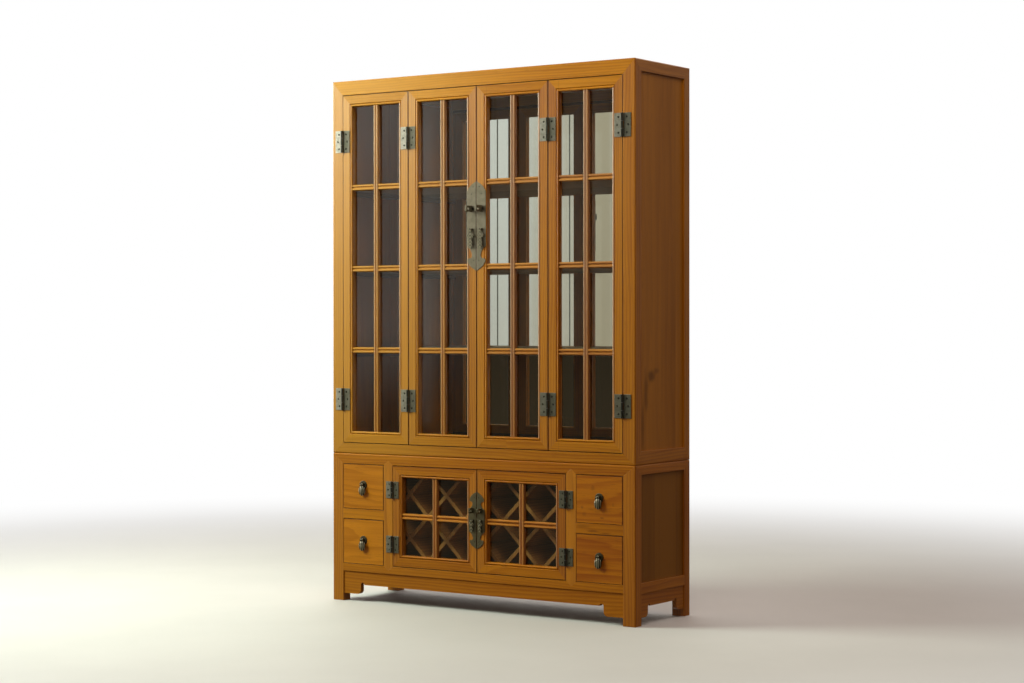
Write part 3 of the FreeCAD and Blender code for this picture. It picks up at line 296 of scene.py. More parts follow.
class SharedEffect:
    """A shader node group that is built once and placed in each material that uses it."""

    name: str = ""
    takes: dict[str, tuple[SocketKind, object]] = {}
    gives: dict[str, SocketKind] = {}

    def build(self, graph: Graph, given: dict[str, Socket]) -> dict[str, Socket]:
        """Fills the group; each effect fills its own.

        Args:
            graph: The group's tree.
            given: Its input sockets by name.

        Returns:
            Its output values by name.
        """
        raise NotImplementedError

    def tree(self) -> bpy.types.NodeTree:
        """Makes the group on first use.

        Returns:
            The group.
        """
        if self.name in bpy.data.node_groups:
            return bpy.data.node_groups[self.name]
        made = bpy.data.node_groups.new(self.name, "ShaderNodeTree")
        for label, (kind, default) in self.takes.items():
            socket = made.interface.new_socket(name=label, in_out="INPUT", socket_type=kind.value)
            socket.default_value = default
        for label, kind in self.gives.items():
            made.interface.new_socket(name=label, in_out="OUTPUT", socket_type=kind.value)
        graph = Graph(made)
        entry = graph.node("NodeGroupInput")
        leaving = graph.node("NodeGroupOutput")
        results = self.build(graph, {label: entry.outputs[label] for label in self.takes})
        for label, result in results.items():
            graph.feed(leaving.inputs[label], result)
        return made

    def place(self, graph: Graph, **values: Feed) -> dict[str, Socket]:
        """Puts the group in a material.

        Args:
            graph: The material's tree.
            values: Inputs by name, with underscores for spaces.

        Returns:
            The outputs by name.
        """
        made = graph.node("ShaderNodeGroup", node_tree=self.tree())
        for label, value in values.items():
            graph.feed(made.inputs[label.replace("_", " ")], value)
        return {label: made.outputs[label] for label in self.gives}


class BoardLayout(SharedEffect):
    """Tells the boards of one piece apart, and turns the place so that Z runs along each board's grain.

    Position has two axes in the plane of the boards and the third across it. A board is level where
    Weight A * |a| + Weight B * |b| is more than Limit, and upright elsewhere.
    """

    name = "board layout"
    takes = {
        "Position": (SocketKind.VECTOR, (0.0, 0.0, 0.0)),
        "Centre": (SocketKind.VECTOR, (0.0, 0.0, 0.0)),
        "Step": (SocketKind.VECTOR, (1.0, 1.0, 1.0)),
        "Weight A": (SocketKind.NUMBER, 0.0),
        "Weight B": (SocketKind.NUMBER, 0.0),
        "Limit": (SocketKind.NUMBER, 1.0),
        "Seed": (SocketKind.NUMBER, 0.0),
    }
    gives = {"Grain Position": SocketKind.VECTOR, "Board": SocketKind.NUMBER, "Level": SocketKind.NUMBER}

    def build(self, graph: Graph, given: dict[str, Socket]) -> dict[str, Socket]:
        """Fills the group.

        Args:
            graph: The group's tree.
            given: Its input sockets by name.

        Returns:
            Its output values by name.
        """
        local = graph.vectors("SUBTRACT", given["Position"], given["Centre"])
        a, b, deep = graph.split(local)
        reach = graph.maths("ADD", graph.maths("MULTIPLY", graph.maths("ABSOLUTE", a), given["Weight A"]),
                            graph.maths("MULTIPLY", graph.maths("ABSOLUTE", b), given["Weight B"]))
        level = graph.maths("GREATER_THAN", reach, given["Limit"])
        upright = graph.maths("SUBTRACT", 1.0, level)
        place = graph.choose(level, graph.merge(a, deep, b), graph.merge(b, deep, a))
        steps = graph.vectors("DIVIDE", local, given["Step"])
        whole = graph.vectors("FLOOR", graph.vectors("ADD", steps, (0.5, 0.5, 0.5)))
        whole_a, whole_b, whole_deep = graph.split(whole)
        key = graph.merge(
            graph.maths("ADD", graph.maths("MULTIPLY", whole_a, upright), given["Seed"]),
            graph.maths("ADD", graph.maths("MULTIPLY", whole_b, level), graph.maths("MULTIPLY", level, 7.3)),
            whole_deep)
        white = graph.node("ShaderNodeTexWhiteNoise", noise_dimensions="3D")
        graph.feed(white.inputs["Vector"], key)
        shift = graph.vectors("MULTIPLY", white.outputs["Color"], (3.0, 3.0, 9.0))
        return {"Grain Position": graph.vectors("ADD", place, shift), "Board": white.outputs["Value"],
                "Level": level}


class WoodGrain(SharedEffect):
    """Growth rings, fibres, pores and knots of a board whose grain runs along Z.

    The scales are counts per metre across the board, through it and along it.
    """

    name = "wood grain"
    takes = {
        "Position": (SocketKind.VECTOR, (0.0, 0.0, 0.0)),
        "Board": (SocketKind.NUMBER, 0.5),
        "Light": (SocketKind.COLOUR, (0.6, 0.3, 0.08, 1.0)),
        "Dark": (SocketKind.COLOUR, (0.35, 0.14, 0.03, 1.0)),
        "Pore": (SocketKind.COLOUR, (0.12, 0.04, 0.01, 1.0)),
        "Ring": (SocketKind.NUMBER, 0.006),
        "Figure": (SocketKind.NUMBER, 0.3),
        "Contrast": (SocketKind.NUMBER, 0.6),
        "Spread": (SocketKind.NUMBER, 0.3),
        "Knots": (SocketKind.NUMBER, 0.0),
    }
    gives = {"Colour": SocketKind.COLOUR, "Roughness": SocketKind.NUMBER, "Height": SocketKind.NUMBER}
    knot_cells = (4.2, 0.6, 1.9)
    warp_scale = (5.0, 5.0, 0.8)
    ring_scale = (26.0, 26.0, 1.3)
    fibre_scale = (330.0, 330.0, 5.0)
    streak_scale = (70.0, 70.0, 1.6)
    cloud_scale = (6.0, 6.0, 1.0)
    pore_scale = (850.0, 850.0, 26.0)
    fibre_weight = 0.55
    streak_weight = 1.1
    cloud_weight = 0.9
    base_tone = 0.28

    def build(self, graph: Graph, given: dict[str, Socket]) -> dict[str, Socket]:
        """Fills the group.

        Args:
            graph: The group's tree.
            given: Its input sockets by name.

        Returns:
            Its output values by name.
        """
        place = given["Position"]
        board = graph.maths("SUBTRACT", given["Board"], 0.5)
        across, deep, along = graph.split(place)

        cells = graph.node("ShaderNodeTexVoronoi", voronoi_dimensions="3D", feature="F1")
        graph.feed(cells.inputs["Vector"], graph.vectors("MULTIPLY", place, self.knot_cells))
        cells.inputs["Scale"].default_value = 1.0
        chosen, _, _ = graph.split(cells.outputs["Color"])
        kept = graph.maths("MULTIPLY", graph.stretch(chosen, 0.55, 0.6), given["Knots"])
        round_knot = graph.maths("MULTIPLY", graph.stretch(cells.outputs["Distance"], 0.075, 0.03), kept)
        pull = graph.maths("MULTIPLY", graph.stretch(cells.outputs["Distance"], 0.32, 0.0), kept)

        warp = graph.maths("SUBTRACT", graph.noise(place, self.warp_scale, 3.0), 0.5)
        sway = graph.maths("MULTIPLY", warp, given["Figure"])
        tilt = graph.maths("MULTIPLY", graph.maths("FRACT", graph.maths("MULTIPLY", along, 0.08)), 0.05)
        pith_x = graph.maths("ADD", graph.maths("ADD", across, graph.maths("MULTIPLY", sway, 0.09)), tilt)
        pith_y = graph.maths("ADD", deep, graph.maths("MULTIPLY", sway, 0.06))
        from_pith = graph.vectors("LENGTH", graph.merge(pith_x, pith_y, 0.0))
        bent = graph.maths("ADD", from_pith, graph.maths("MULTIPLY", pull, 0.03))
        count = graph.maths("DIVIDE", bent, given["Ring"])
        loose = graph.maths("ADD", count, graph.noise(place, self.ring_scale, 4.0, 0.6))
        saw = graph.maths("FRACT", loose)
        late = graph.maths("MULTIPLY", graph.stretch(saw, 0.25, 0.9), graph.stretch(saw, 1.0, 0.93))

        fibre = graph.noise(place, self.fibre_scale, 5.0, 0.7)
        streak = graph.noise(place, self.streak_scale, 4.0, 0.6)
        cloud = graph.noise(place, self.cloud_scale, 3.0)
        dots = graph.stretch(graph.noise(place, self.pore_scale, 2.0), 0.6, 0.72)
        pores = graph.maths("MULTIPLY", dots, graph.stretch(late, 0.8, 0.1))

        dark = graph.maths("MULTIPLY", late, given["Contrast"])
        for part, weight in ((fibre, self.fibre_weight), (streak, self.streak_weight),
                             (cloud, self.cloud_weight)):
            dark = graph.maths("ADD", dark, graph.maths("MULTIPLY", graph.maths("SUBTRACT", part, 0.5), weight))
        dark = graph.maths("ADD", dark, graph.maths("MULTIPLY", board, given["Spread"]))
        dark = graph.maths("ADD", dark, self.base_tone, clamp=True)
        colour = graph.blend(dark, given["Light"], given["Dark"])
        colour = graph.blend(graph.maths("MULTIPLY", pores, 0.55), colour, given["Pore"])
        colour = graph.blend(graph.maths("MULTIPLY", round_knot, 0.85), colour, given["Pore"])
        rough = graph.maths("ADD", graph.maths("MULTIPLY", fibre, 0.14), 0.22)
        rough = graph.maths("ADD", rough, graph.maths("MULTIPLY", pores, 0.12))
        height = graph.maths("SUBTRACT", graph.maths("MULTIPLY", fibre, 0.35),
                             graph.maths("MULTIPLY", pores, 0.8))
        height = graph.maths("ADD", height, graph.maths("MULTIPLY", late, 0.12))
        return {"Colour": colour, "Roughness": rough, "Height": height}


class WornEdge(SharedEffect):
    """Where an arris is, and the normal of that arris if it were slightly round."""

    name = "worn edge"
    takes = {
        "Radius": (SocketKind.NUMBER, 0.0015),
        "Breakup": (SocketKind.VECTOR, (0.0, 0.0, 0.0)),
    }
    gives = {"Edge": SocketKind.NUMBER, "Normal": SocketKind.VECTOR}

    def build(self, graph: Graph, given: dict[str, Socket]) -> dict[str, Socket]:
        """Fills the group.

        Args:
            graph: The group's tree.
            given: Its input sockets by name.

        Returns:
            Its output values by name.
        """
        rounded = graph.node("ShaderNodeBevel", samples=4)
        graph.feed(rounded.inputs["Radius"], given["Radius"])
        surface = graph.node("ShaderNodeNewGeometry")
        facing = graph.vectors("DOT_PRODUCT", rounded.outputs[0], surface.outputs["Normal"])
        turned = graph.stretch(facing, 0.999, 0.9)
        patchy = graph.stretch(graph.noise(given["Breakup"], (60.0, 60.0, 60.0), 3.0), 0.35, 0.6, 0.25, 1.0)
        return {"Edge": graph.maths("MULTIPLY", turned, patchy), "Normal": rounded.outputs[0]}


class Clouds(SharedEffect):
    """Uneven tone, from handling, dust and tarnish, at two sizes."""

    name = "uneven tone"
    takes = {
        "Position": (SocketKind.VECTOR, (0.0, 0.0, 0.0)),
        "Large": (SocketKind.NUMBER, 12.0),
        "Small": (SocketKind.NUMBER, 160.0),
    }
    gives = {"Broad": SocketKind.NUMBER, "Fine": SocketKind.NUMBER}

    def build(self, graph: Graph, given: dict[str, Socket]) -> dict[str, Socket]:
        """Fills the group.

        Args:
            graph: The group's tree.
            given: Its input sockets by name.

        Returns:
            Its output values by name.
        """
        wide = graph.merge(given["Large"], given["Large"], given["Large"])
        near = graph.merge(given["Small"], given["Small"], given["Small"])
        return {"Broad": graph.stretch(graph.noise(given["Position"], wide, 4.0), 0.3, 0.7),
                "Fine": graph.stretch(graph.noise(given["Position"], near, 4.0, 0.65), 0.3, 0.7)}


class Knot(SharedEffect):
    """Mask of one knot or dark streak at a place in the wood; on brass it places a painted shadow."""

    name = "single knot"
    takes = {
        "Position": (SocketKind.VECTOR, (0.0, 0.0, 0.0)),
        "Centre": (SocketKind.VECTOR, (0.0, 0.0, 0.0)),
        "Reach": (SocketKind.VECTOR, (0.01, 0.01, 0.01)),
    }
    gives = {"Mask": SocketKind.NUMBER}

    def build(self, graph: Graph, given: dict[str, Socket]) -> dict[str, Socket]:
        """Fills the group.

        Args:
            graph: The group's tree.
            given: Its input sockets by name.

        Returns:
            Its output values by name.
        """
        local = graph.vectors("DIVIDE", graph.vectors("SUBTRACT", given["Position"], given["Centre"]),
                              given["Reach"])
        ragged = graph.maths("SUBTRACT", graph.noise(given["Position"], (60.0, 60.0, 25.0), 3.0), 0.5)
        away = graph.maths("ADD", graph.vectors("LENGTH", local), graph.maths("MULTIPLY", ragged, 0.9))
        return {"Mask": graph.stretch(away, 1.15, 0.2)}


class Engraving(SharedEffect):
    """Cut lines in metal: chevrons about an upright centre line, or ribs along it."""

    name = "engraved lines"
    takes = {
        "Position": (SocketKind.VECTOR, (0.0, 0.0, 0.0)),
        "Centre": (SocketKind.VECTOR, (0.0, 0.0, 0.0)),
        "Across": (SocketKind.NUMBER, 200.0),
        "Up": (SocketKind.NUMBER, 200.0),
    }
    gives = {"Line": SocketKind.NUMBER}

    def build(self, graph: Graph, given: dict[str, Socket]) -> dict[str, Socket]:
        """Fills the group.

        Args:
            graph: The group's tree.
            given: Its input sockets by name.

        Returns:
            Its output values by name.
        """
        x, _, z = graph.split(graph.vectors("SUBTRACT", given["Position"], given["Centre"]))
        slant = graph.maths("ADD", graph.maths("MULTIPLY", graph.maths("ABSOLUTE", x), given["Across"]),
                            graph.maths("MULTIPLY", z, given["Up"]))
        wave = graph.maths("ABSOLUTE", graph.maths("SUBTRACT", graph.maths("FRACT", slant), 0.5))
        return {"Line": graph.stretch(wave, 0.12, 0.42)}


class LeftLight(SharedEffect):
    """Painted light: wood painted paler and yellower towards the left of the cabinet, where the light falls
    strongest.
    """

    name = "painted left light"
    takes = {
        "Position": (SocketKind.VECTOR, (0.0, 0.0, 0.0)),
        "Strength": (SocketKind.NUMBER, 0.3),
    }
    gives = {"Mask": SocketKind.NUMBER}

    def build(self, graph: Graph, given: dict[str, Socket]) -> dict[str, Socket]:
        """Fills the group.

        Args:
            graph: The group's tree.
            given: Its input sockets by name.

        Returns:
            Its output values by name.
        """
        x, _, _ = graph.split(given["Position"])
        return {"Mask": graph.stretch(x, 0.3, -0.55, 0.0, given["Strength"])}


class GapShade(SharedEffect):
    """Painted shade: a dark line along the outline of a door or drawer, on its front face, where its gap would
    be in shade.
    """

    name = "painted gap shade"
    takes = {
        "Position": (SocketKind.VECTOR, (0.0, 0.0, 0.0)),
        "Low": (SocketKind.VECTOR, (0.0, 0.0, 0.0)),
        "High": (SocketKind.VECTOR, (1.0, 1.0, 1.0)),
        "Deep": (SocketKind.NUMBER, 0.0016),
    }
    gives = {"Line": SocketKind.NUMBER}

    def build(self, graph: Graph, given: dict[str, Socket]) -> dict[str, Socket]:
        """Fills the group.

        Args:
            graph: The group's tree.
            given: Its input sockets by name.

        Returns:
            Its output values by name.
        """
        x, y, z = graph.split(given["Position"])
        left, front, bottom = graph.split(given["Low"])
        right, _, top = graph.split(given["High"])
        beside = graph.maths("MINIMUM", graph.maths("SUBTRACT", x, left), graph.maths("SUBTRACT", right, x))
        over = graph.maths("MINIMUM", graph.maths("SUBTRACT", z, bottom), graph.maths("SUBTRACT", top, z))
        line = graph.stretch(graph.maths("MINIMUM", beside, over), 0.0004, -0.0003)
        face = graph.maths("LESS_THAN", y, graph.maths("ADD", front, given["Deep"]))
        return {"Line": graph.maths("MULTIPLY", line, face)}


class StileTone(SharedEffect):
    """Painted shade on the inner side of a left stile, and painted highlight on the bead of a right one,
    strongest at the top.
    """

    name = "stile tone"
    takes = {
        "Position": (SocketKind.VECTOR, (0.0, 0.0, 0.0)),
        "Low": (SocketKind.VECTOR, (0.0, 0.0, 0.0)),
        "High": (SocketKind.VECTOR, (1.0, 1.0, 1.0)),
        "Frame": (SocketKind.NUMBER, 0.038),
        "Bead": (SocketKind.NUMBER, 0.009),
        "Deep": (SocketKind.NUMBER, 0.0016),
    }
    gives = {"Shade": SocketKind.NUMBER, "Painted Highlight": SocketKind.NUMBER}
    side = 0.0006
    shade = 0.7

    def build(self, graph: Graph, given: dict[str, Socket]) -> dict[str, Socket]:
        """Fills the group.

        Args:
            graph: The group's tree.
            given: Its input sockets by name.

        Returns:
            Its output values by name.
        """
        x, y, z = graph.split(given["Position"])
        left, front, bottom = graph.split(given["Low"])
        right, _, top = graph.split(given["High"])
        # Painted shade on the inner side of the left stile.
        away = graph.maths("ABSOLUTE", graph.maths("SUBTRACT", x, graph.maths("ADD", left, given["Frame"])))
        shade = graph.maths("MULTIPLY", graph.maths("LESS_THAN", away, self.side), self.shade)
        # Painted highlight on the bead of the right stile, stronger high up.
        off = graph.maths("SUBTRACT", x, graph.maths("SUBTRACT", right, given["Frame"]))
        bead = graph.stretch(off, given["Bead"], graph.maths("MULTIPLY", given["Bead"], 0.6))
        masks = (
            graph.maths("GREATER_THAN", off, -self.side),
            graph.maths("GREATER_THAN", z, graph.maths("ADD", bottom, given["Frame"])),
            graph.maths("LESS_THAN", z, graph.maths("SUBTRACT", top, given["Frame"])),
            graph.maths("LESS_THAN", y, graph.maths("ADD", front, given["Deep"])),
            graph.stretch(z, 0.4, 1.4, 0.3, 0.75),
        )
        for mask in masks:
            bead = graph.maths("MULTIPLY", bead, mask)
        return {"Shade": shade, "Painted Highlight": bead}


class BarTone(SharedEffect):
    """Painted shade on the right side of an upright bar, and painted highlight on its front; level bars get
    less highlight.
    """

    name = "bar tone"
    takes = {
        "Position": (SocketKind.VECTOR, (0.0, 0.0, 0.0)),
        "Middle": (SocketKind.NUMBER, 0.0),
        "Bar": (SocketKind.NUMBER, 0.020),
    }
    gives = {"Shade": SocketKind.NUMBER, "Painted Highlight": SocketKind.NUMBER}
    side = 0.0009
    level_highlight = 0.22

    def build(self, graph: Graph, given: dict[str, Socket]) -> dict[str, Socket]:
        """Fills the group.

        Args:
            graph: The group's tree.
            given: Its input sockets by name.

        Returns:
            Its output values by name.
        """
        x, _, z = graph.split(given["Position"])
        bar = given["Bar"]
        half = graph.maths("MULTIPLY", bar, 0.5)
        off = graph.maths("SUBTRACT", x, given["Middle"])
        beside = graph.maths("ABSOLUTE", graph.maths("SUBTRACT", off, half))
        across = graph.stretch(off, graph.maths("MULTIPLY", bar, -0.1), graph.maths("MULTIPLY", bar, 0.35),
                               1.0, 0.45)
        on = graph.maths("LESS_THAN", graph.maths("ABSOLUTE", off), graph.maths("SUBTRACT", half, self.side))
        rubbed_and_lit = graph.maths("MAXIMUM", graph.maths("MULTIPLY", across, on), self.level_highlight)
        # Shade is painted shade on the bar's right side; the other mask is painted highlight, stronger high up.
        return {"Shade": graph.maths("LESS_THAN", beside, self.side),
                "Painted Highlight": graph.maths("MULTIPLY", rubbed_and_lit, graph.stretch(z, 0.4, 1.4, 0.3, 0.8))}


class LeafLight(SharedEffect):
    """Hinge leaves at one pin line: painted highlight to the left of the pin, painted shade along the pin.

    Those at the upper left get the most painted highlight, and those at the lower right the most painted shade.
    """

    name = "painted leaf light"
    takes = {
        "Position": (SocketKind.VECTOR, (0.0, 0.0, 0.0)),
        "Pin": (SocketKind.NUMBER, 0.0),
        "Leaf": (SocketKind.NUMBER, 0.031),
        "Knuckle": (SocketKind.NUMBER, 0.0032),
        "Breakup": (SocketKind.NUMBER, 0.5),
    }
    gives = {"Leaf Highlight": SocketKind.NUMBER, "Knuckle Shade": SocketKind.NUMBER, "Dim": SocketKind.NUMBER}

    def build(self, graph: Graph, given: dict[str, Socket]) -> dict[str, Socket]:
        """Fills the group.

        Args:
            graph: The group's tree.
            given: Its input sockets by name.

        Returns:
            Its output values by name.
        """
        x, _, z = graph.split(given["Position"])
        # Painted light: strongest at the upper left, where the light falls, weakest at the lower right.
        rubbed_and_lit = graph.maths("SUBTRACT", graph.maths("MULTIPLY", z, 0.44), graph.maths("MULTIPLY", x, 0.5))
        rubbed_and_lit = graph.maths("SUBTRACT", rubbed_and_lit, 0.06, clamp=True)
        away = graph.maths("SUBTRACT", given["Pin"], x)
        left = graph.maths("MULTIPLY", graph.maths("GREATER_THAN", away, 0.0),
                           graph.maths("LESS_THAN", away, given["Leaf"]))
        # Painted highlight on the leaf to the left of the pin.
        worn_and_lit = graph.maths("MULTIPLY", graph.stretch(given["Breakup"], 0.0, 1.0, 0.6, 1.0), left)
        # Painted shade along the knuckle.
        near = graph.stretch(graph.maths("ABSOLUTE", away), graph.maths("ADD", given["Knuckle"], 0.0006),
                             graph.maths("SUBTRACT", given["Knuckle"], 0.0004))
        return {"Leaf Highlight": graph.maths("MULTIPLY", worn_and_lit, rubbed_and_lit),
                "Knuckle Shade": graph.maths("MULTIPLY", near, 0.85),
                "Dim": graph.stretch(rubbed_and_lit, 0.7, 0.0, 0.0, 0.3)}


BOARD_LAYOUT = BoardLayout()
WOOD_GRAIN = WoodGrain()
WORN_EDGE = WornEdge()
CLOUDS = Clouds()
KNOT = Knot()
ENGRAVING = Engraving()
LEFT_LIGHT = LeftLight()
GAP_SHADE = GapShade()
STILE_TONE = StileTone()
BAR_TONE = BarTone()
LEAF_LIGHT = LeafLight()

# Strength of every bump; its height is set by the finish.
BUMP_STRENGTH = 0.6
# Step along an axis in which a piece has one board only.
ENDLESS = 10.0
# Middle of the cases from front to back, and half of their depth.
CASE_MIDDLE = 0.017
CASE_HALF_DEPTH = 0.17
# Width of the photograph in pixels, for the lens.
PHOTO_WIDTH = 1024.0
# The doors from left to right, upper case first, and the number that sets the first one's grain.
DOORS = ("upper_left_outer", "upper_left_inner", "upper_right_inner", "upper_right_outer", "lower_left_door",
         "lower_right_door")
DOOR_SEED = 20.0


def new_material(name: str) -> tuple[bpy.types.Material, Graph, bpy.types.Node, Socket]:
    """Material with its Principled shader and the place on the object.

    Args:
        name: Name of the material.

    Returns:
        The material, its graph, its shader and the position socket.
    """
    material = bpy.data.materials.new(name)
    material.use_nodes = True
    material.node_tree.nodes.clear()
    graph = Graph(material.node_tree)
    shader = graph.node("ShaderNodeBsdfPrincipled")
    graph.feed(graph.output().inputs["Surface"], shader.outputs[0])
    place = graph.node("ShaderNodeTexCoord").outputs["Object"]
    return material, graph, shader, place


def bumped(graph: Graph, shader: bpy.types.Node, height: Socket, distance: float,
           normal: Union[Socket, None] = None) -> None:
    """Feeds a height to the shader's normal.

    Args:
        graph: The material's graph.
        shader: Its Principled shader.
        height: Height from 0 to 1.
        distance: Height of 1 in metres.
        normal: Normal that the bump starts from.
    """
    bump = graph.node("ShaderNodeBump")
    bump.inputs["Strength"].default_value = BUMP_STRENGTH
    bump.inputs["Distance"].default_value = distance
    graph.feed(bump.inputs["Height"], height)
    if normal is not None:
        graph.feed(bump.inputs["Normal"], normal)
    graph.feed(shader.inputs["Normal"], bump.outputs[0])


class Plane(Enum):
    """Plane that the boards of a piece lie in, as the axes a, b and across."""

    FRONT = (0, 2, 1)
    FLOOR = (0, 1, 2)
    SIDE = (1, 2, 0)


@dataclass(frozen=True)
class Boards:
    """How the boards of one piece lie.

    centre and step are along X, Y and Z. A board is level where weights * |place| is more than limit.
    """

    plane: Plane = Plane.FRONT
    centre: Point = (0.0, 0.0, 0.0)
    step: Point = (ENDLESS, ENDLESS, ENDLESS)
    weights: tuple[float, float] = (0.0, 0.0)
    limit: float = 1.0

    @classmethod
    def upright(cls, step: Point = (ENDLESS, ENDLESS, ENDLESS)) -> "Boards":
        """Boards that all stand."""
        return cls(step=step)

    @classmethod
    def level(cls, step: Point = (ENDLESS, ENDLESS, ENDLESS)) -> "Boards":
        """Boards that all lie along X."""
        return cls(step=step, limit=-1.0)

    @classmethod
    def mitred(cls, node: str) -> "Boards":
        """Two stiles and two rails in the outline of a door frame.

        Args:
            node: Name of the frame.

        Returns:
            How its boards lie.
        """
        low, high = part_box(node)
        middle = (low + high) / 2
        half = (high - low) / 2
        return cls(centre=tuple(middle), step=(half.x, ENDLESS, half.z), weights=(-1.0, 1.0),
                   limit=half.z - half.x)

    @classmethod
    def crossed(cls, node: str, bar: float) -> "Boards":
        """One upright bar in the middle and level bars beside it.

        Args:
            node: Name of the bars.
            bar: Width of a bar.

        Returns:
            How its boards lie.
        """
        low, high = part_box(node)
        middle = (low + high) / 2
        half = (high - low) / 2
        return cls(centre=tuple(middle), step=(half.x, ENDLESS, 0.05), weights=(1.0, 0.0), limit=bar / 2)

    @classmethod
    def ring(cls, node: str) -> "Boards":
        """Rails at front, back and sides, mitred in plan.

        Args:
            node: Name of the rails.

        Returns:
            How its boards lie.
        """
        low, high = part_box(node)
        middle = (low + high) / 2
        half = (high - low) / 2
        return cls(plane=Plane.FLOOR, centre=(middle.x, CASE_MIDDLE, middle.z),
                   step=(half.x, CASE_HALF_DEPTH, 0.1), weights=(-1.0, 1.0), limit=CASE_HALF_DEPTH - half.x)

    def grain(self, graph: Graph, place: Socket, seed: float) -> dict[str, Socket]:
        """Places the board layout in a material.

        Args:
            graph: The material's graph.
            place: Place on the object.
            seed: Number that sets this piece's own grain.

        Returns:
            The layout's outputs.
        """
        axes = graph.split(place)
        return BOARD_LAYOUT.place(
            graph, Position=graph.merge(*[axes[axis] for axis in self.plane.value]),
            Centre=[self.centre[axis] for axis in self.plane.value],
            Step=[self.step[axis] for axis in self.plane.value], Weight_A=self.weights[0],
            Weight_B=self.weights[1], Limit=self.limit, Seed=seed)


@dataclass(frozen=True)
class Slats(Boards):
    """Two sets of slats that cross on the slant.

    level_of_row is the height of a row of crossings. The cells between the slats reach half_width and
    half_height from their middles, and half_spacing is half the distance from one slat to the next.
    """

    level_of_row: float = 0.296
    half_width: float = 0.075
    half_height: float = 0.0745
    half_spacing: float = 0.053

    def grain(self, graph: Graph, place: Socket, seed: float) -> dict[str, Socket]:
        """Places the board layout in a material, with the slant turned level first.

        Args:
            graph: The material's graph.
            place: Place on the object.
            seed: Number that sets this piece's own grain.

        Returns:
            The layout's outputs.
        """
        x, y, z = graph.split(place)
        across = graph.maths("DIVIDE", x, self.half_width)
        up = graph.maths("DIVIDE", graph.maths("SUBTRACT", z, self.level_of_row), self.half_height)
        falling = graph.maths("ADD", across, up)
        rising = graph.maths("SUBTRACT", across, up)

        def off(slant: Socket) -> Socket:
            """Distance from the nearest slat of one set."""
            return graph.maths("ABSOLUTE", graph.maths("SUBTRACT", graph.maths("PINGPONG", slant, 2.0), 1.0))

        nearer = graph.maths("LESS_THAN", off(rising), off(falling))
        along = graph.blend(nearer, falling, rising)
        beside = graph.blend(nearer, rising, falling)
        turned = graph.merge(graph.maths("MULTIPLY", beside, self.half_spacing), y,
                             graph.maths("MULTIPLY", along, self.half_spacing))
        return BOARD_LAYOUT.place(graph, Position=turned, Step=(2 * self.half_spacing, ENDLESS, ENDLESS),
                                  Seed=seed)


@dataclass(frozen=True)
class Front:
    """Front of a door or drawer, with a painted shade line along its outline.

    margins are the widths of that line at the left, right, bottom and top.
    """

    low: Point
    high: Point
    margins: tuple[float, float, float, float] = (0.0008, 0.0012, 0.0010, 0.0010)

    def line(self, graph: Graph, place: Socket) -> Union[Socket, None]:
        """Mask of the painted shade line.

        Args:
            graph: The material's graph.
            place: Place on the object.

        Returns:
            1 on the line and 0 elsewhere, or None where there is no line.
        """
        left, right, bottom, top = self.margins
        low = (self.low[0] + left, self.low[1], self.low[2] + bottom)
        high = (self.high[0] - right, self.high[1], self.high[2] - top)
        return GAP_SHADE.place(graph, Position=place, Low=low, High=high)["Line"]

    def tones(self, graph: Graph, place: Socket) -> dict[str, Socket]:
        """Masks of painted shade, Shade, and of painted highlight, Painted Highlight; a plain front has
        neither.
        """
        return {}


@dataclass(frozen=True)
class FrameFront(Front):
    """Front of a door frame, with a bead along its inner edge."""

    def tones(self, graph: Graph, place: Socket) -> dict[str, Socket]:
        """See the base class."""
        return STILE_TONE.place(graph, Position=place, Low=self.low, High=self.high)


@dataclass(frozen=True)
class BarsFront(Front):
    """Glazing bars: one upright and the level ones; low and high are the outline of the door."""

    def line(self, graph: Graph, place: Socket) -> Union[Socket, None]:
        """Bars have no outline of their own."""
        return None

    def tones(self, graph: Graph, place: Socket) -> dict[str, Socket]:
        """See the base class."""
        return BAR_TONE.place(graph, Position=place, Middle=(self.low[0] + self.high[0]) / 2)


@dataclass(frozen=True)
class Mark:
    """A dark mark at a place: centre, reach along each axis, and strength. Wood uses it for knots and streaks,
    brass for a painted shadow.
    """

    centre: Point
    reach: Point
    strength: float = 0.8


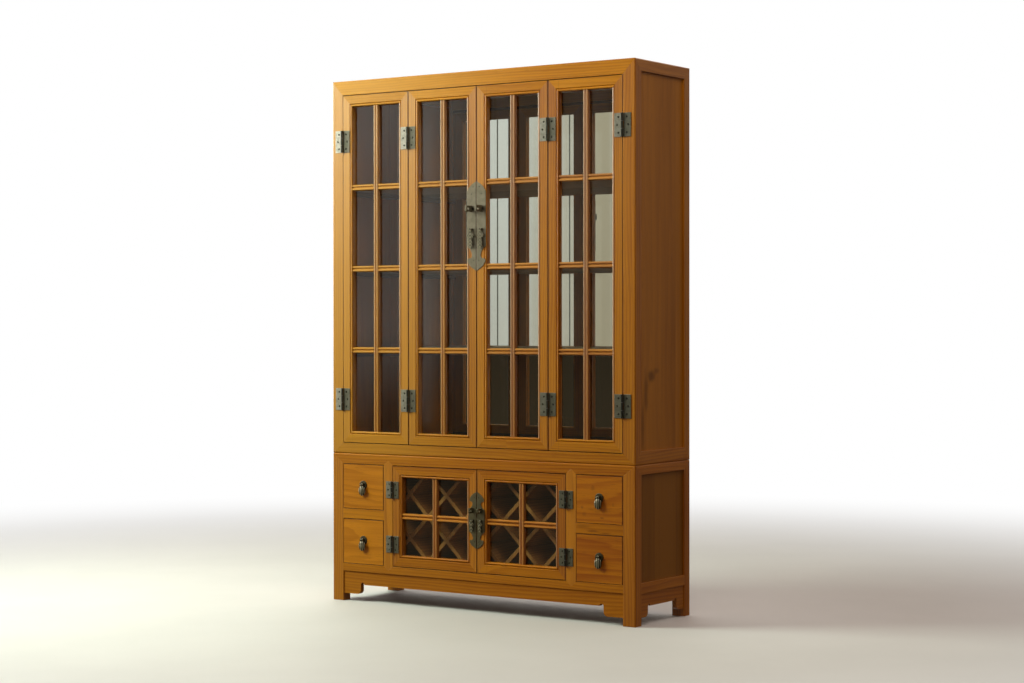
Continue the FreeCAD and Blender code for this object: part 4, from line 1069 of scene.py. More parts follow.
@dataclass(frozen=True)
class WoodFinish:
    """Lacquered wood: colours, ring width, figure and gloss.

    level_coat is the gloss of level boards where it differs from that of upright ones. Then coat_fade says
    from which height to which the gloss grows, and its share below them.
    """

    name: str
    light: Colour
    dark: Colour
    pore: Colour
    ring: float = 0.006
    figure: float = 0.3
    contrast: float = 0.5
    spread: float = 0.35
    knots: float = 0.0
    coat: float = 0.22
    coat_roughness: float = 0.2
    extra_roughness: float = 0.08
    handling: float = 0.06
    worn_and_lit: Colour = (0.66, 0.34, 0.08)
    wear: float = 0.16
    fade: float = 0.14
    arris: float = 0.0016
    # Strength of the painted shade on stiles and bars.
    shading: float = 0.6
    # Strength and colour of the painted shade along a front's outline.
    gap_shade_strength: float = 0.85
    gap_shade: Colour = (0.055, 0.014, 0.003)
    bump: float = 0.00022
    specular: float = 0.32
    # Colour of the painted highlight on beads and bars.
    painted_highlight: Colour = (0.60, 0.40, 0.28)
    coat_ior: float = 1.5
    level_coat: Union[float, None] = None
    coat_fade: tuple[float, float, float] = (0.8, 1.6, 0.4)
    # Strength and colour of the painted light towards the left.
    left_light: float = 0.0
    left_light_colour: Colour = (0.60, 0.30, 0.035)

    def material(self, label: str, boards: Boards, seed: float, front: Union[Front, None] = None,
                 marks: Iterable[Mark] = ()) -> bpy.types.Material:
        """Makes the material of one piece.

        Args:
            label: Name of the piece.
            boards: How its boards lie.
            seed: Number that sets this piece's own grain.
            front: Its outline, for a door or a drawer.
            marks: Its own knots and streaks.

        Returns:
            The material.
        """
        material, graph, shader, place = new_material("%s_%s" % (self.name, label))
        layout = boards.grain(graph, place, seed)
        grain = WOOD_GRAIN.place(
            graph, Position=layout["Grain Position"], Board=layout["Board"], Light=self.light, Dark=self.dark,
            Pore=self.pore, Ring=self.ring, Figure=self.figure, Contrast=self.contrast, Spread=self.spread,
            Knots=self.knots)
        edge = WORN_EDGE.place(graph, Radius=self.arris, Breakup=place)
        tone = CLOUDS.place(graph, Position=place, Large=5.0, Small=140.0)
        colour = graph.blend(graph.maths("MULTIPLY", edge["Edge"], self.wear), grain["Colour"], self.worn_and_lit)
        faded_with_painted_light = graph.blend(graph.maths("MULTIPLY", tone["Broad"], self.fade), colour, self.light)
        for mark in marks:
            spot = KNOT.place(graph, Position=place, Centre=mark.centre, Reach=mark.reach)["Mask"]
            faded_with_painted_light = graph.blend(graph.maths("MULTIPLY", spot, mark.strength), faded_with_painted_light, self.pore)
        # Painted shade and painted highlight from the front's tones.
        tones = front.tones(graph, place) if front else {}
        if tones:
            faded_with_painted_light = graph.blend(graph.maths("MULTIPLY", tones["Shade"], self.shading), faded_with_painted_light, self.pore)
            faded_with_painted_light = graph.blend(tones["Painted Highlight"], faded_with_painted_light, self.painted_highlight)
        # Painted light: paler, yellower wood towards the left.
        if self.left_light:
            faded_with_painted_light = graph.blend(LEFT_LIGHT.place(graph, Position=place, Strength=self.left_light)["Mask"], faded_with_painted_light,
                                self.left_light_colour)
        # Painted shade along the outline of a door or drawer.
        line = front.line(graph, place) if front else None
        if line is not None:
            faded_with_painted_light = graph.blend(graph.maths("MULTIPLY", line, self.gap_shade_strength), faded_with_painted_light, self.gap_shade)
        graph.feed(shader.inputs["Base Color"], faded_with_painted_light)
        rough = graph.maths("ADD", grain["Roughness"], self.extra_roughness)
        graph.feed(shader.inputs["Roughness"],
                   graph.maths("ADD", rough, graph.maths("MULTIPLY", tone["Fine"], self.handling)))
        if self.level_coat is None:
            shader.inputs["Coat Weight"].default_value = self.coat
        else:
            more = graph.maths("MULTIPLY", layout["Level"], self.level_coat - self.coat)
            _, _, z = graph.split(place)
            low, high, least = self.coat_fade
            graph.feed(shader.inputs["Coat Weight"], graph.maths(
                "MULTIPLY", graph.maths("ADD", self.coat, more), graph.stretch(z, low, high, least, 1.0)))
        shader.inputs["Coat Roughness"].default_value = self.coat_roughness
        shader.inputs["Coat IOR"].default_value = self.coat_ior
        shader.inputs["Specular IOR Level"].default_value = self.specular
        bumped(graph, shader, grain["Height"], self.bump, edge["Normal"])
        return material


@dataclass(frozen=True)
class BrassFinish:
    """Old yellow brass: dulled on the flat, rubbed bright where it is touched."""

    name: str
    tarnish: Colour
    metal: Colour
    rubbed_and_lit: Colour
    roughness: float = 0.42
    rub_and_light: float = 0.8
    arris: float = 0.0009
    bump: float = 0.00012
    least_metallic: float = 0.55
    patchiness: float = 0.22
    smoothing: float = 0.2
    cut_depth: float = 4.0
    cut_shine: float = 0.45
    # Colour of the painted highlight on hinge leaves.
    pale: Colour = (0.74, 0.71, 0.60)
    # Dark colour of the painted shade on hinge leaves and of the staple's painted shadow, and of the patina in
    # engraved lines.
    shade: Colour = (0.02, 0.02, 0.015)

    def leaves(self, graph: Graph, place: Socket, pins: Sequence[float], colour: Socket) -> Socket:
        """Colour of hinge leaves: painted highlight to the left of each pin, and painted shade along the pin.

        Args:
            graph: The material's graph.
            place: Place on the object.
            pins: X of each pin line.
            colour: Colour of plain brass.

        Returns:
            The colour.
        """
        breakup = CLOUDS.place(graph, Position=place, Large=90.0, Small=600.0)["Broad"]
        for pin in pins:
            rub_and_light = LEAF_LIGHT.place(graph, Position=place, Pin=pin, Breakup=breakup)
            colour = graph.blend(rub_and_light["Leaf Highlight"], colour, self.pale)
            colour = graph.blend(rub_and_light["Knuckle Shade"], colour, self.shade)
        return graph.blend(rub_and_light["Dim"], colour, self.shade)

    def material(self, label: str, pins: Sequence[float] = (),
                 lines: Union[tuple[Point, float, float], None] = None,
                 marks: Iterable[Mark] = ()) -> bpy.types.Material:
        """Makes the material of one piece.

        Args:
            label: Name of the piece.
            pins: X of its pin lines, for hinge leaves.
            lines: Centre, density across and density up of its engraved lines.
            marks: Dark patches painted on it; on the upper lock plates, the painted shadow of the staple.

        Returns:
            The material.
        """
        material, graph, shader, place = new_material("%s_%s" % (self.name, label))
        tone = CLOUDS.place(graph, Position=place, Large=45.0, Small=420.0)
        edge = WORN_EDGE.place(graph, Radius=self.arris, Breakup=place)
        stain_and_shadow = graph.maths("MULTIPLY", graph.maths("ADD", tone["Broad"], tone["Fine"]), 0.5)
        dull_and_shaded = graph.blend(stain_and_shadow, self.tarnish, self.metal)
        if pins:
            dull_and_shaded = self.leaves(graph, place, pins, dull_and_shaded)
        height = tone["Fine"]
        if lines is not None:
            centre, across, up = lines
            cut = ENGRAVING.place(graph, Position=place, Centre=centre, Across=across, Up=up)["Line"]
            dull_and_shaded = graph.blend(cut, graph.blend(self.cut_shine, dull_and_shaded, self.rubbed_and_lit), self.shade)
            height = graph.maths("SUBTRACT", height, graph.maths("MULTIPLY", cut, self.cut_depth))
        # Dark marks, such as a painted shadow.
        for mark in marks:
            spot = KNOT.place(graph, Position=place, Centre=mark.centre, Reach=mark.reach)["Mask"]
            dull_and_shaded = graph.blend(graph.maths("MULTIPLY", spot, mark.strength), dull_and_shaded, self.shade)
        bare = graph.maths("MULTIPLY", edge["Edge"], self.rub_and_light)
        graph.feed(shader.inputs["Base Color"], graph.blend(bare, dull_and_shaded, self.rubbed_and_lit))
        clean = graph.maths("ADD", stain_and_shadow, bare)
        graph.feed(shader.inputs["Metallic"], graph.stretch(clean, 0.0, 0.8, self.least_metallic, 1.0))
        rough = graph.maths("ADD", graph.maths("MULTIPLY", tone["Fine"], self.patchiness), self.roughness)
        graph.feed(shader.inputs["Roughness"],
                   graph.maths("SUBTRACT", rough, graph.maths("MULTIPLY", bare, self.smoothing)))
        bumped(graph, shader, height, self.bump, edge["Normal"])
        return material


@dataclass(frozen=True)
class GlassFinish:
    """Clear flat glass with a trace of dust."""

    name: str
    tint: Colour
    bend: float = 1.45
    dust: float = 0.002
    lets_through: Colour = (0.93, 0.95, 0.94)

    def material(self) -> bpy.types.Material:
        """Makes the material. Light passes it with little loss, as through a thin pane.

        Returns:
            The material.
        """
        material, graph, shader, place = new_material(self.name)
        tone = CLOUDS.place(graph, Position=place, Large=3.0, Small=60.0)
        graph.feed(shader.inputs["Base Color"], self.tint)
        shader.inputs["Transmission Weight"].default_value = 1.0
        shader.inputs["IOR"].default_value = self.bend
        graph.feed(shader.inputs["Roughness"], graph.maths("MULTIPLY", tone["Fine"], self.dust))
        clear = graph.node("ShaderNodeBsdfTransparent")
        graph.feed(clear.inputs[0], self.lets_through)
        rays = graph.node("ShaderNodeLightPath")
        through = graph.maths("MAXIMUM", rays.outputs["Is Shadow Ray"], rays.outputs["Is Diffuse Ray"])
        graph.swap_shader(through, shader.outputs[0], clear.outputs[0])
        return material


@dataclass(frozen=True)
class MirrorFinish:
    """Silvered glass, a little foxed and dusty."""

    name: str
    silver: Colour
    foxing: Colour
    foxed: float = 0.03
    dust: float = 0.003

    def material(self) -> bpy.types.Material:
        """Makes the material.

        Returns:
            The material.
        """
        material, graph, shader, place = new_material(self.name)
        tone = CLOUDS.place(graph, Position=place, Large=4.0, Small=30.0)
        spots = graph.maths("MULTIPLY", graph.maths("POWER", tone["Fine"], 4.0), self.foxed)
        graph.feed(shader.inputs["Base Color"], graph.blend(spots, self.silver, self.foxing))
        shader.inputs["Metallic"].default_value = 1.0
        graph.feed(shader.inputs["Roughness"], graph.maths("MULTIPLY", tone["Broad"], self.dust))
        return material


FRAME_WOOD = WoodFinish("frame_wood", light=(0.582, 0.214, 0.009), dark=(0.312, 0.079, 0.002),
                        pore=(0.13, 0.034, 0.005), ring=0.008, figure=0.6, contrast=0.42, spread=0.5,
                        coat=0.9, coat_roughness=0.3, coat_ior=1.7, level_coat=0.1, left_light=0.42)
# Painted shade: a darker, redder copy of the frame wood with less painted light, for the lower case and its
# doors.
LOW_SHADED_FRAME_WOOD = replace(FRAME_WOOD, name="low_shaded_frame_wood", light=(0.56, 0.187, 0.006),
                         dark=(0.29, 0.068, 0.0015), left_light=0.12)
PANEL_WOOD = WoodFinish("panel_wood", light=(0.48, 0.172, 0.006), dark=(0.30, 0.094, 0.003),
                        pore=(0.07, 0.024, 0.004), ring=0.028, figure=1.5, contrast=0.2, spread=0.9, coat=0.12)
# Painted shade: a much darker copy of the panel wood, for the lower side panels.
LOW_SHADED_PANEL_WOOD = WoodFinish("low_shaded_panel_wood", light=(0.30, 0.108, 0.004), dark=(0.17, 0.056, 0.002),
                            pore=(0.05, 0.018, 0.003), ring=0.028, figure=1.5, contrast=0.25, spread=1.4,
                            coat=0.1)
FRONT_WOOD = WoodFinish("drawer_wood", light=(0.683, 0.240, 0.011), dark=(0.383, 0.110, 0.003),
                        pore=(0.12, 0.032, 0.005), ring=0.02, figure=2.0, contrast=0.36, knots=0.8, wear=0.4)
# Painted shade: a darker, redder copy of the drawer wood, for the drawers on the right.
RIGHT_SHADED_FRONT_WOOD = replace(FRONT_WOOD, name="right_shaded_drawer_wood", light=(0.586, 0.184, 0.004),
                         dark=(0.286, 0.054, 0.002))
INNER_WOOD = WoodFinish("inner_wood", light=(0.20, 0.10, 0.036), dark=(0.10, 0.045, 0.016),
                        pore=(0.05, 0.02, 0.008), ring=0.006, figure=0.5, contrast=0.5, coat=0.0,
                        extra_roughness=0.3, worn_and_lit=(0.26, 0.13, 0.05), wear=0.15)
SHELF_WOOD = WoodFinish("shelf_wood", light=(0.36, 0.22, 0.10), dark=(0.25, 0.145, 0.062),
                        pore=(0.12, 0.06, 0.025), ring=0.012, figure=0.5, contrast=0.15, coat=0.0,
                        extra_roughness=0.3, worn_and_lit=(0.36, 0.22, 0.10), wear=0.1)
DUSTY_WOOD = WoodFinish("dusty_wood", light=(0.13, 0.112, 0.064), dark=(0.068, 0.052, 0.029),
                        pore=(0.04, 0.03, 0.016), ring=0.012, figure=0.5, contrast=0.2, coat=0.0,
                        extra_roughness=0.3, worn_and_lit=(0.13, 0.112, 0.064), wear=0.1)
LATTICE_WOOD = WoodFinish("lattice_wood", light=(0.42, 0.19, 0.05), dark=(0.22, 0.09, 0.022),
                          pore=(0.09, 0.035, 0.01), ring=0.007, figure=0.5, contrast=0.45, coat=0.0,
                          extra_roughness=0.25, worn_and_lit=(0.46, 0.22, 0.07), wear=0.2)
HINGE_BRASS = BrassFinish("hinge_brass", tarnish=(0.13, 0.125, 0.085), metal=(0.42, 0.40, 0.30),
                          rubbed_and_lit=(0.82, 0.79, 0.66))
PLATE_BRASS = BrassFinish("plate_brass", tarnish=(0.18, 0.155, 0.10), metal=(0.44, 0.39, 0.285),
                          rubbed_and_lit=(0.84, 0.76, 0.58))
# Painted shade: a darker copy of the plate brass, for the lower lock plates.
LOW_SHADED_PLATE_BRASS = BrassFinish("low_shaded_plate_brass", tarnish=(0.10, 0.085, 0.045), metal=(0.24, 0.205, 0.12),
                              rubbed_and_lit=(0.55, 0.50, 0.34))
DARK_BRASS = BrassFinish("dark_brass", tarnish=(0.05, 0.042, 0.024), metal=(0.19, 0.16, 0.09),
                         rubbed_and_lit=(0.74, 0.66, 0.45), roughness=0.34)
DARK_IRON = BrassFinish("dark_screws", tarnish=(0.018, 0.016, 0.012), metal=(0.05, 0.045, 0.03),
                        rubbed_and_lit=(0.20, 0.18, 0.12), roughness=0.5)
DOOR_GLASS = GlassFinish("clear_glass", tint=(0.97, 0.98, 0.97))
BACK_MIRROR = MirrorFinish("silvered_glass", silver=(0.82, 0.83, 0.82), foxing=(0.25, 0.22, 0.17))


def dress(node: str, material: bpy.types.Material) -> None:
    """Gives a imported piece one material.

    Args:
        node: Name of the piece.
        material: Its material.
    """
    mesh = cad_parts[node].data
    mesh.materials.clear()
    mesh.materials.append(material)
    log.info("dressed %s with %s", node, material.name)


def as_object(name: str, mesh_work: bmesh.types.BMesh, material: bpy.types.Material, body: str) -> None:
    """Turns mesh work into a piece that rides on a body.

    Args:
        name: Name of the piece.
        mesh_work: Finished mesh work, which is freed.
        material: Its material.
        body: Body that it moves with.
    """
    bmesh.ops.recalc_face_normals(mesh_work, faces=mesh_work.faces)
    mesh = bpy.data.meshes.new(name)
    mesh_work.to_mesh(mesh)
    mesh_work.free()
    mesh.materials.append(material)
    piece = bpy.data.objects.new(name, mesh)
    bpy.context.scene.collection.objects.link(piece)
    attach(piece, body)
    log.info("made %s with %d faces", name, len(mesh.polygons))


def hide_from(staged: bpy.types.Object, *rays: str) -> None:
    """Hides a staged object from kinds of ray.

    Args:
        staged: Floor, lamp, card or screen.
        rays: Kinds of ray: camera, diffuse, glossy, transmission or shadow.
    """
    for kind in rays:
        setattr(staged, "visible_" + kind, False)


def half_dome(mesh_work: bmesh.types.BMesh, centre: Vector, radius: float, height: float, turn: float,
              gap: float) -> None:
    """Adds one half of a slotted screw head that faces the front.

    Args:
        mesh_work: Mesh work that it is added to.
        centre: Middle of the head, on the surface that it sits on.
        radius: Radius of the head.
        height: Height of the head.
        turn: Angle of the slot, in radians.
        gap: Width of the slot.
    """
    rings = 4
    arc = 8
    spin = Matrix.Rotation(turn, 3, "Y")

    def spot(across: float, up: float, out: float) -> bmesh.types.BMVert:
        """Vertex at a place on the head."""
        return mesh_work.verts.new(centre + spin @ Vector((across + gap / 2, -out, up)))

    rows = []
    for ring in range(rings):
        reach = (radius - gap / 2) * (1 - ring / rings)
        out = height * (1 - (reach / radius) ** 2)
        rows.append([spot(reach * math.cos(angle), reach * math.sin(angle), out)
                     for angle in (math.pi * (step / arc - 0.5) for step in range(arc + 1))])
    crown = spot(0.0, 0.0, height)
    foot = [spot((radius - gap / 2) * math.cos(angle), (radius - gap / 2) * math.sin(angle), 0.0)
            for angle in (math.pi * (step / arc - 0.5) for step in range(arc + 1))]
    for outer, inner in zip([foot] + rows[:-1], rows):
        for step in range(arc):
            mesh_work.faces.new((outer[step], outer[step + 1], inner[step + 1], inner[step]))
    for step in range(arc):
        mesh_work.faces.new((rows[-1][step], rows[-1][step + 1], crown))
    wall = [foot[0]] + [row[0] for row in rows] + [crown] + [row[-1] for row in reversed(rows)] + [foot[-1]]
    mesh_work.faces.new(wall)
    mesh_work.faces.new(foot)


def screw_head(mesh_work: bmesh.types.BMesh, centre: Vector, radius: float, turn: float) -> None:
    """Adds a slotted, low-domed screw head that faces the front.

    Args:
        mesh_work: Mesh work that it is added to.
        centre: Middle of the head, on the surface that it sits on.
        radius: Radius of the head.
        turn: Angle of the slot, in radians.
    """
    height, slot = radius * 0.34, radius * 0.26
    for way in (turn, turn + math.pi):
        half_dome(mesh_work, centre, radius, height, way, slot)


def nail_head(mesh_work: bmesh.types.BMesh, centre: Vector, radius: float) -> None:
    """Adds a round nail head that faces the front.

    Args:
        mesh_work: Mesh work that it is added to.
        centre: Middle of the head, on the surface that it sits on.
        radius: Radius of the head.
    """
    flatness = 0.55
    place = Matrix.Translation(centre) @ Matrix.Diagonal((1.0, flatness, 1.0, 1.0)) @ Matrix.Rotation(
        math.pi / 2, 4, "X")
    bmesh.ops.create_uvsphere(mesh_work, u_segments=14, v_segments=8, radius=radius, matrix=place)


@dataclass
class Cases:
    """The two wooden cases with their shelves, panels and mirror.

    A step is the distance from one board of a piece to the next, along X, Y and Z.
    """

    post_step: Point = (0.6, CASE_HALF_DEPTH, ENDLESS)
    divider_step: Point = (0.36, ENDLESS, ENDLESS)
    side_centre: Point = (0.0, 0.040, 0.0)
    side_step: Point = (0.6, 0.13, ENDLESS)
    upper_board_step: Point = (ENDLESS, 0.2, 0.3)
    lower_board_step: Point = (ENDLESS, ENDLESS, 0.1)
    shelf_step: Point = (ENDLESS, ENDLESS, 0.15)
    cleat_step: Point = (0.3, ENDLESS, 0.1)
    panel_marks: tuple[Mark, ...] = (
        Mark((0.594, -0.018, 0.790), (0.02, 0.026, 0.012), 0.4),
        Mark((0.594, -0.046, 0.776), (0.02, 0.026, 0.022), 0.6),
        Mark((0.594, -0.078, 0.720), (0.02, 0.015, 0.080), 0.45),
        Mark((0.594, -0.100, 0.620), (0.02, 0.012, 0.100), 0.4),
    )
    rail_marks: tuple[Mark, ...] = (
        Mark((0.410, -0.153, 0.303), (0.034, 0.03, 0.006), 0.4),
        Mark((0.445, -0.153, 0.290), (0.028, 0.03, 0.005), 0.55),
        Mark((0.490, -0.153, 0.284), (0.034, 0.03, 0.004), 0.45),
    )

    def dress(self) -> None:
        """Gives each piece of the cases its finish."""
        posts = Boards.upright(self.post_step)
        sides = Boards(plane=Plane.SIDE, centre=self.side_centre, step=self.side_step)
        table = (
            ("upper_posts", "upper_posts", FRAME_WOOD, posts, ()),
            ("lower_posts", "lower_posts", LOW_SHADED_FRAME_WOOD, posts, ()),
            ("divider_uprights", "dividers", LOW_SHADED_FRAME_WOOD, Boards.upright(self.divider_step), ()),
            ("upper_rails", "upper_rails", FRAME_WOOD, Boards.ring("upper_rails"), ()),
            ("lower_rails", "lower_rails", LOW_SHADED_FRAME_WOOD, Boards.ring("lower_rails"), self.rail_marks),
            ("aprons", "aprons", LOW_SHADED_FRAME_WOOD, Boards.ring("aprons"), ()),
            ("upper_side_panels", "upper_panels", PANEL_WOOD, sides, self.panel_marks),
            ("lower_panels", "lower_panels", LOW_SHADED_PANEL_WOOD, sides, ()),
            ("upper_boards", "upper_boards", INNER_WOOD, Boards.level(self.upper_board_step), ()),
            ("lower_boards", "lower_boards", DUSTY_WOOD, Boards.level(self.lower_board_step), ()),
            ("upper_shelves", "shelves", SHELF_WOOD, Boards.level(self.shelf_step), ()),
            ("cleats_and_door_stops", "cleats", INNER_WOOD, Boards.level(self.cleat_step), ()),
            ("drawer_runners", "runners", INNER_WOOD, Boards(plane=Plane.SIDE, limit=-1.0), ()),
            ("bottle_lattice", "lattice", LATTICE_WOOD, Slats(), ()),
        )
        for seed, (node, label, finish, boards, marks) in enumerate(table, 1):
            dress(node, finish.material(label, boards, float(seed), marks=marks))
        dress("upper_back_mirror", BACK_MIRROR.material())


@dataclass
class Hinges:
    """Screws in the hinge leaves, three to a leaf.

    spots are (across, up) from the pin, as shares of the leaf's reach and half height.
    """

    plate: float = 0.155
    upper_reach: float = 0.030
    upper_height: float = 0.074
    upper_levels: tuple[float, float] = (0.683, 1.555)
    lower_reach: float = 0.026
    lower_height: float = 0.056
    lower_levels: tuple[float, float] = (0.202, 0.384)
    half_opening: float = 0.555
    pitch: float = 0.2775
    lower_pin: float = 0.345
    head: float = 0.0036
    lower_share: float = 0.85
    spots: tuple[tuple[float, float], ...] = ((0.5, 0.66), (0.66, 0.0), (0.5, -0.66))

    def pins(self) -> tuple[float, ...]:
        """X of every pin line."""
        right = (self.half_opening, self.half_opening - self.pitch, self.lower_pin)
        return right + tuple(-pin for pin in right)

    def leaf(self, mesh_work: bmesh.types.BMesh, pin: float, way: float, level: Level) -> None:
        """Adds the screws of the leaves on one side of one pin line.

        Args:
            mesh_work: Mesh work that they are added to.
            pin: X of the pin line.
            way: 1 where the leaf lies to the right of the pin, -1 to the left.
            level: Upper or lower doors.
        """
        upper = level is Level.UPPER
        reach = self.upper_reach if upper else self.lower_reach
        half = (self.upper_height if upper else self.lower_height) / 2
        head = self.head if upper else self.head * self.lower_share
        for middle in self.upper_levels if upper else self.lower_levels:
            for number, (across, up) in enumerate(self.spots):
                centre = Vector((pin + way * reach * across, -self.plate, middle + half * up))
                screw_head(mesh_work, centre, head, 0.5 + 1.1 * number + 37.0 * pin + middle * 11.0)

    def build(self) -> None:
        """Makes the screws of each body that carries leaves, and dresses the leaves."""
        dress("case_hinge_leaves", HINGE_BRASS.material("case_leaves", self.pins()))
        case = bmesh.new()
        for hand in Hand:
            self.leaf(case, hand.sign * self.half_opening, hand.sign, Level.UPPER)
            self.leaf(case, hand.sign * self.lower_pin, hand.sign, Level.LOWER)
        as_object("case_hinge_screws", case, DARK_IRON.material("case_screws"), "case")
        for hand in Hand:
            outer = bmesh.new()
            self.leaf(outer, hand.sign * self.half_opening, -hand.sign, Level.UPPER)
            self.leaf(outer, hand.sign * (self.half_opening - self.pitch), hand.sign, Level.UPPER)
            inner = bmesh.new()
            self.leaf(inner, hand.sign * (self.half_opening - self.pitch), -hand.sign, Level.UPPER)
            lower = bmesh.new()
            self.leaf(lower, hand.sign * self.lower_pin, -hand.sign, Level.LOWER)
            for label, work in (("upper_%s_outer" % hand.word, outer), ("upper_%s_inner" % hand.word, inner),
                                ("lower_%s" % hand.word, lower)):
                body = label + "_door"
                as_object(label + "_hinge_screws", work, DARK_IRON.material(label + "_screws"), body)


@dataclass
class Door:
    """One glazed door: frame, glazing bars, pane and hinge leaves."""

    label: str
    seed: float
    pins: tuple[float, ...]
    wood: WoodFinish
    bar: float = 0.0202

    def dress(self, glass: bpy.types.Material) -> None:
        """Gives the door's pieces their finish.

        Args:
            glass: Material of the pane.
        """
        frame_node = self.label + "_frame"
        bars_node = self.label + "_glazing_bars"
        low, high = (tuple(corner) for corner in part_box(frame_node))
        dress(frame_node, self.wood.material(frame_node, Boards.mitred(frame_node), self.seed,
                                             FrameFront(low, high)))
        dress(bars_node, self.wood.material(bars_node, Boards.crossed(bars_node, self.bar), self.seed + 0.5,
                                            BarsFront(low, high)))
        dress(self.label + "_glass", glass)
        dress(self.label + "_hinge_leaves", HINGE_BRASS.material(self.label + "_leaves", self.pins))


@dataclass
class Locks:
    """Lock plates with their nails, and the pendants that hang on them."""

    face: float = 0.155
    gap: float = 0.0015
    upper_width: float = 0.036
    upper_base: float = 1.112
    upper_height: float = 0.288
    lower_width: float = 0.030
    lower_base: float = 0.208
    lower_height: float = 0.184
    nail: float = 0.0017
    # Height of the painted shadow of the staple on the upper lock plates.
    staple_shadow_level: float = 1.311
    chevrons: tuple[float, float] = (120.0, 95.0)
    upper_spots: tuple[tuple[float, float], ...] = ((0.24, 0.11), (0.5, 0.245), (0.8, 0.38), (0.5, 0.86),
                                                    (0.3, 0.94))
    lower_spots: tuple[tuple[float, float], ...] = ((0.24, 0.12), (0.6, 0.30), (0.75, 0.69), (0.24, 0.9))

    def build(self) -> None:
        """Dresses the plates and pendants and drives the nails."""
        for level, width, base, height, spots, body in (
                (Level.UPPER, self.upper_width, self.upper_base, self.upper_height, self.upper_spots,
                 "upper_%s_inner_door"),
                (Level.LOWER, self.lower_width, self.lower_base, self.lower_height, self.lower_spots,
                 "lower_%s_door")):
            for hand in Hand:
                plate = "%s_%s_lock_plate" % (level.value, hand.word)
                pendant = "%s_%s_pendant" % (level.value, hand.word)
                if level is Level.UPPER:
                    # Painted shadow of the staple: a dark band across the plate.
                    stain_and_shadow = Mark((hand.sign * width / 2, -self.face, self.staple_shadow_level),
                                 (width / 2, 0.004, 0.008), 0.85)
                    dress(plate, PLATE_BRASS.material(plate, marks=(stain_and_shadow,)))
                else:
                    dress(plate, LOW_SHADED_PLATE_BRASS.material(plate))
                low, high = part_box(pendant)
                dress(pendant, DARK_BRASS.material(
                    pendant, lines=(tuple((low + high) / 2), *self.chevrons)))
                work = bmesh.new()
                for across, up in spots:
                    nail_head(work, Vector((hand.sign * (self.gap + width * across), -self.face,
                                            base + height * up)), self.nail)
                as_object(plate + "_nails", work, DARK_IRON.material(plate + "_nails"), body % hand.word)


@dataclass
class Drawers:
    """The four drawers with their roses and drops."""

    # Widths of the painted shade line at the left, right, bottom and top of each drawer front; widest at the
    # right and bottom, where the shade falls.
    margins: tuple[float, float, float, float] = (0.0006, 0.0022, 0.0016, 0.0014)
    ribs: tuple[float, float] = (140.0, 0.0)
    first_seed: float = 40.0
    knotty: str = "upper_right_drawer"
    marks: tuple[Mark, ...] = (
        Mark((0.445, -0.153, 0.425), (0.008, 0.02, 0.010), 0.35),
        Mark((0.405, -0.153, 0.362), (0.006, 0.02, 0.006), 0.45),
        Mark((0.412, -0.153, 0.342), (0.010, 0.02, 0.009), 0.3),
        Mark((0.478, -0.153, 0.332), (0.009, 0.02, 0.004), 0.5),
        Mark((0.519, -0.153, 0.375), (0.005, 0.02, 0.008), 0.3),
    )

    def dress(self) -> None:
        """Gives the drawers and their pulls their finish."""
        seed = self.first_seed
        for level in Level:
            for hand in Hand:
                base = "%s_%s_drawer" % (level.value, hand.word)
                low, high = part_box(base + "_box")
                front = Boards(centre=tuple((low + high) / 2), limit=-1.0)
                # Drawers on the right get the darker copy, as painted shade.
                wood = FRONT_WOOD if hand is Hand.LEFT else RIGHT_SHADED_FRONT_WOOD
                dress(base + "_box", wood.material(base, front, seed, Front(
                    tuple(low), tuple(high), margins=self.margins), self.marks if base == self.knotty else ()))
                dress(base + "_rose", DARK_BRASS.material(base + "_rose"))
                low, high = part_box(base + "_drop")
                dress(base + "_drop", DARK_BRASS.material(
                    base + "_drop", lines=(tuple((low + high) / 2), *self.ribs)))
                seed += 1.0


@dataclass(frozen=True)
class Lamp:
    """Soft square lamp: name, place, point that it faces, side length in metres, watts and colour."""

    name: str
    place: Point
    target: Point
    size: float
    power: float
    colour: Colour


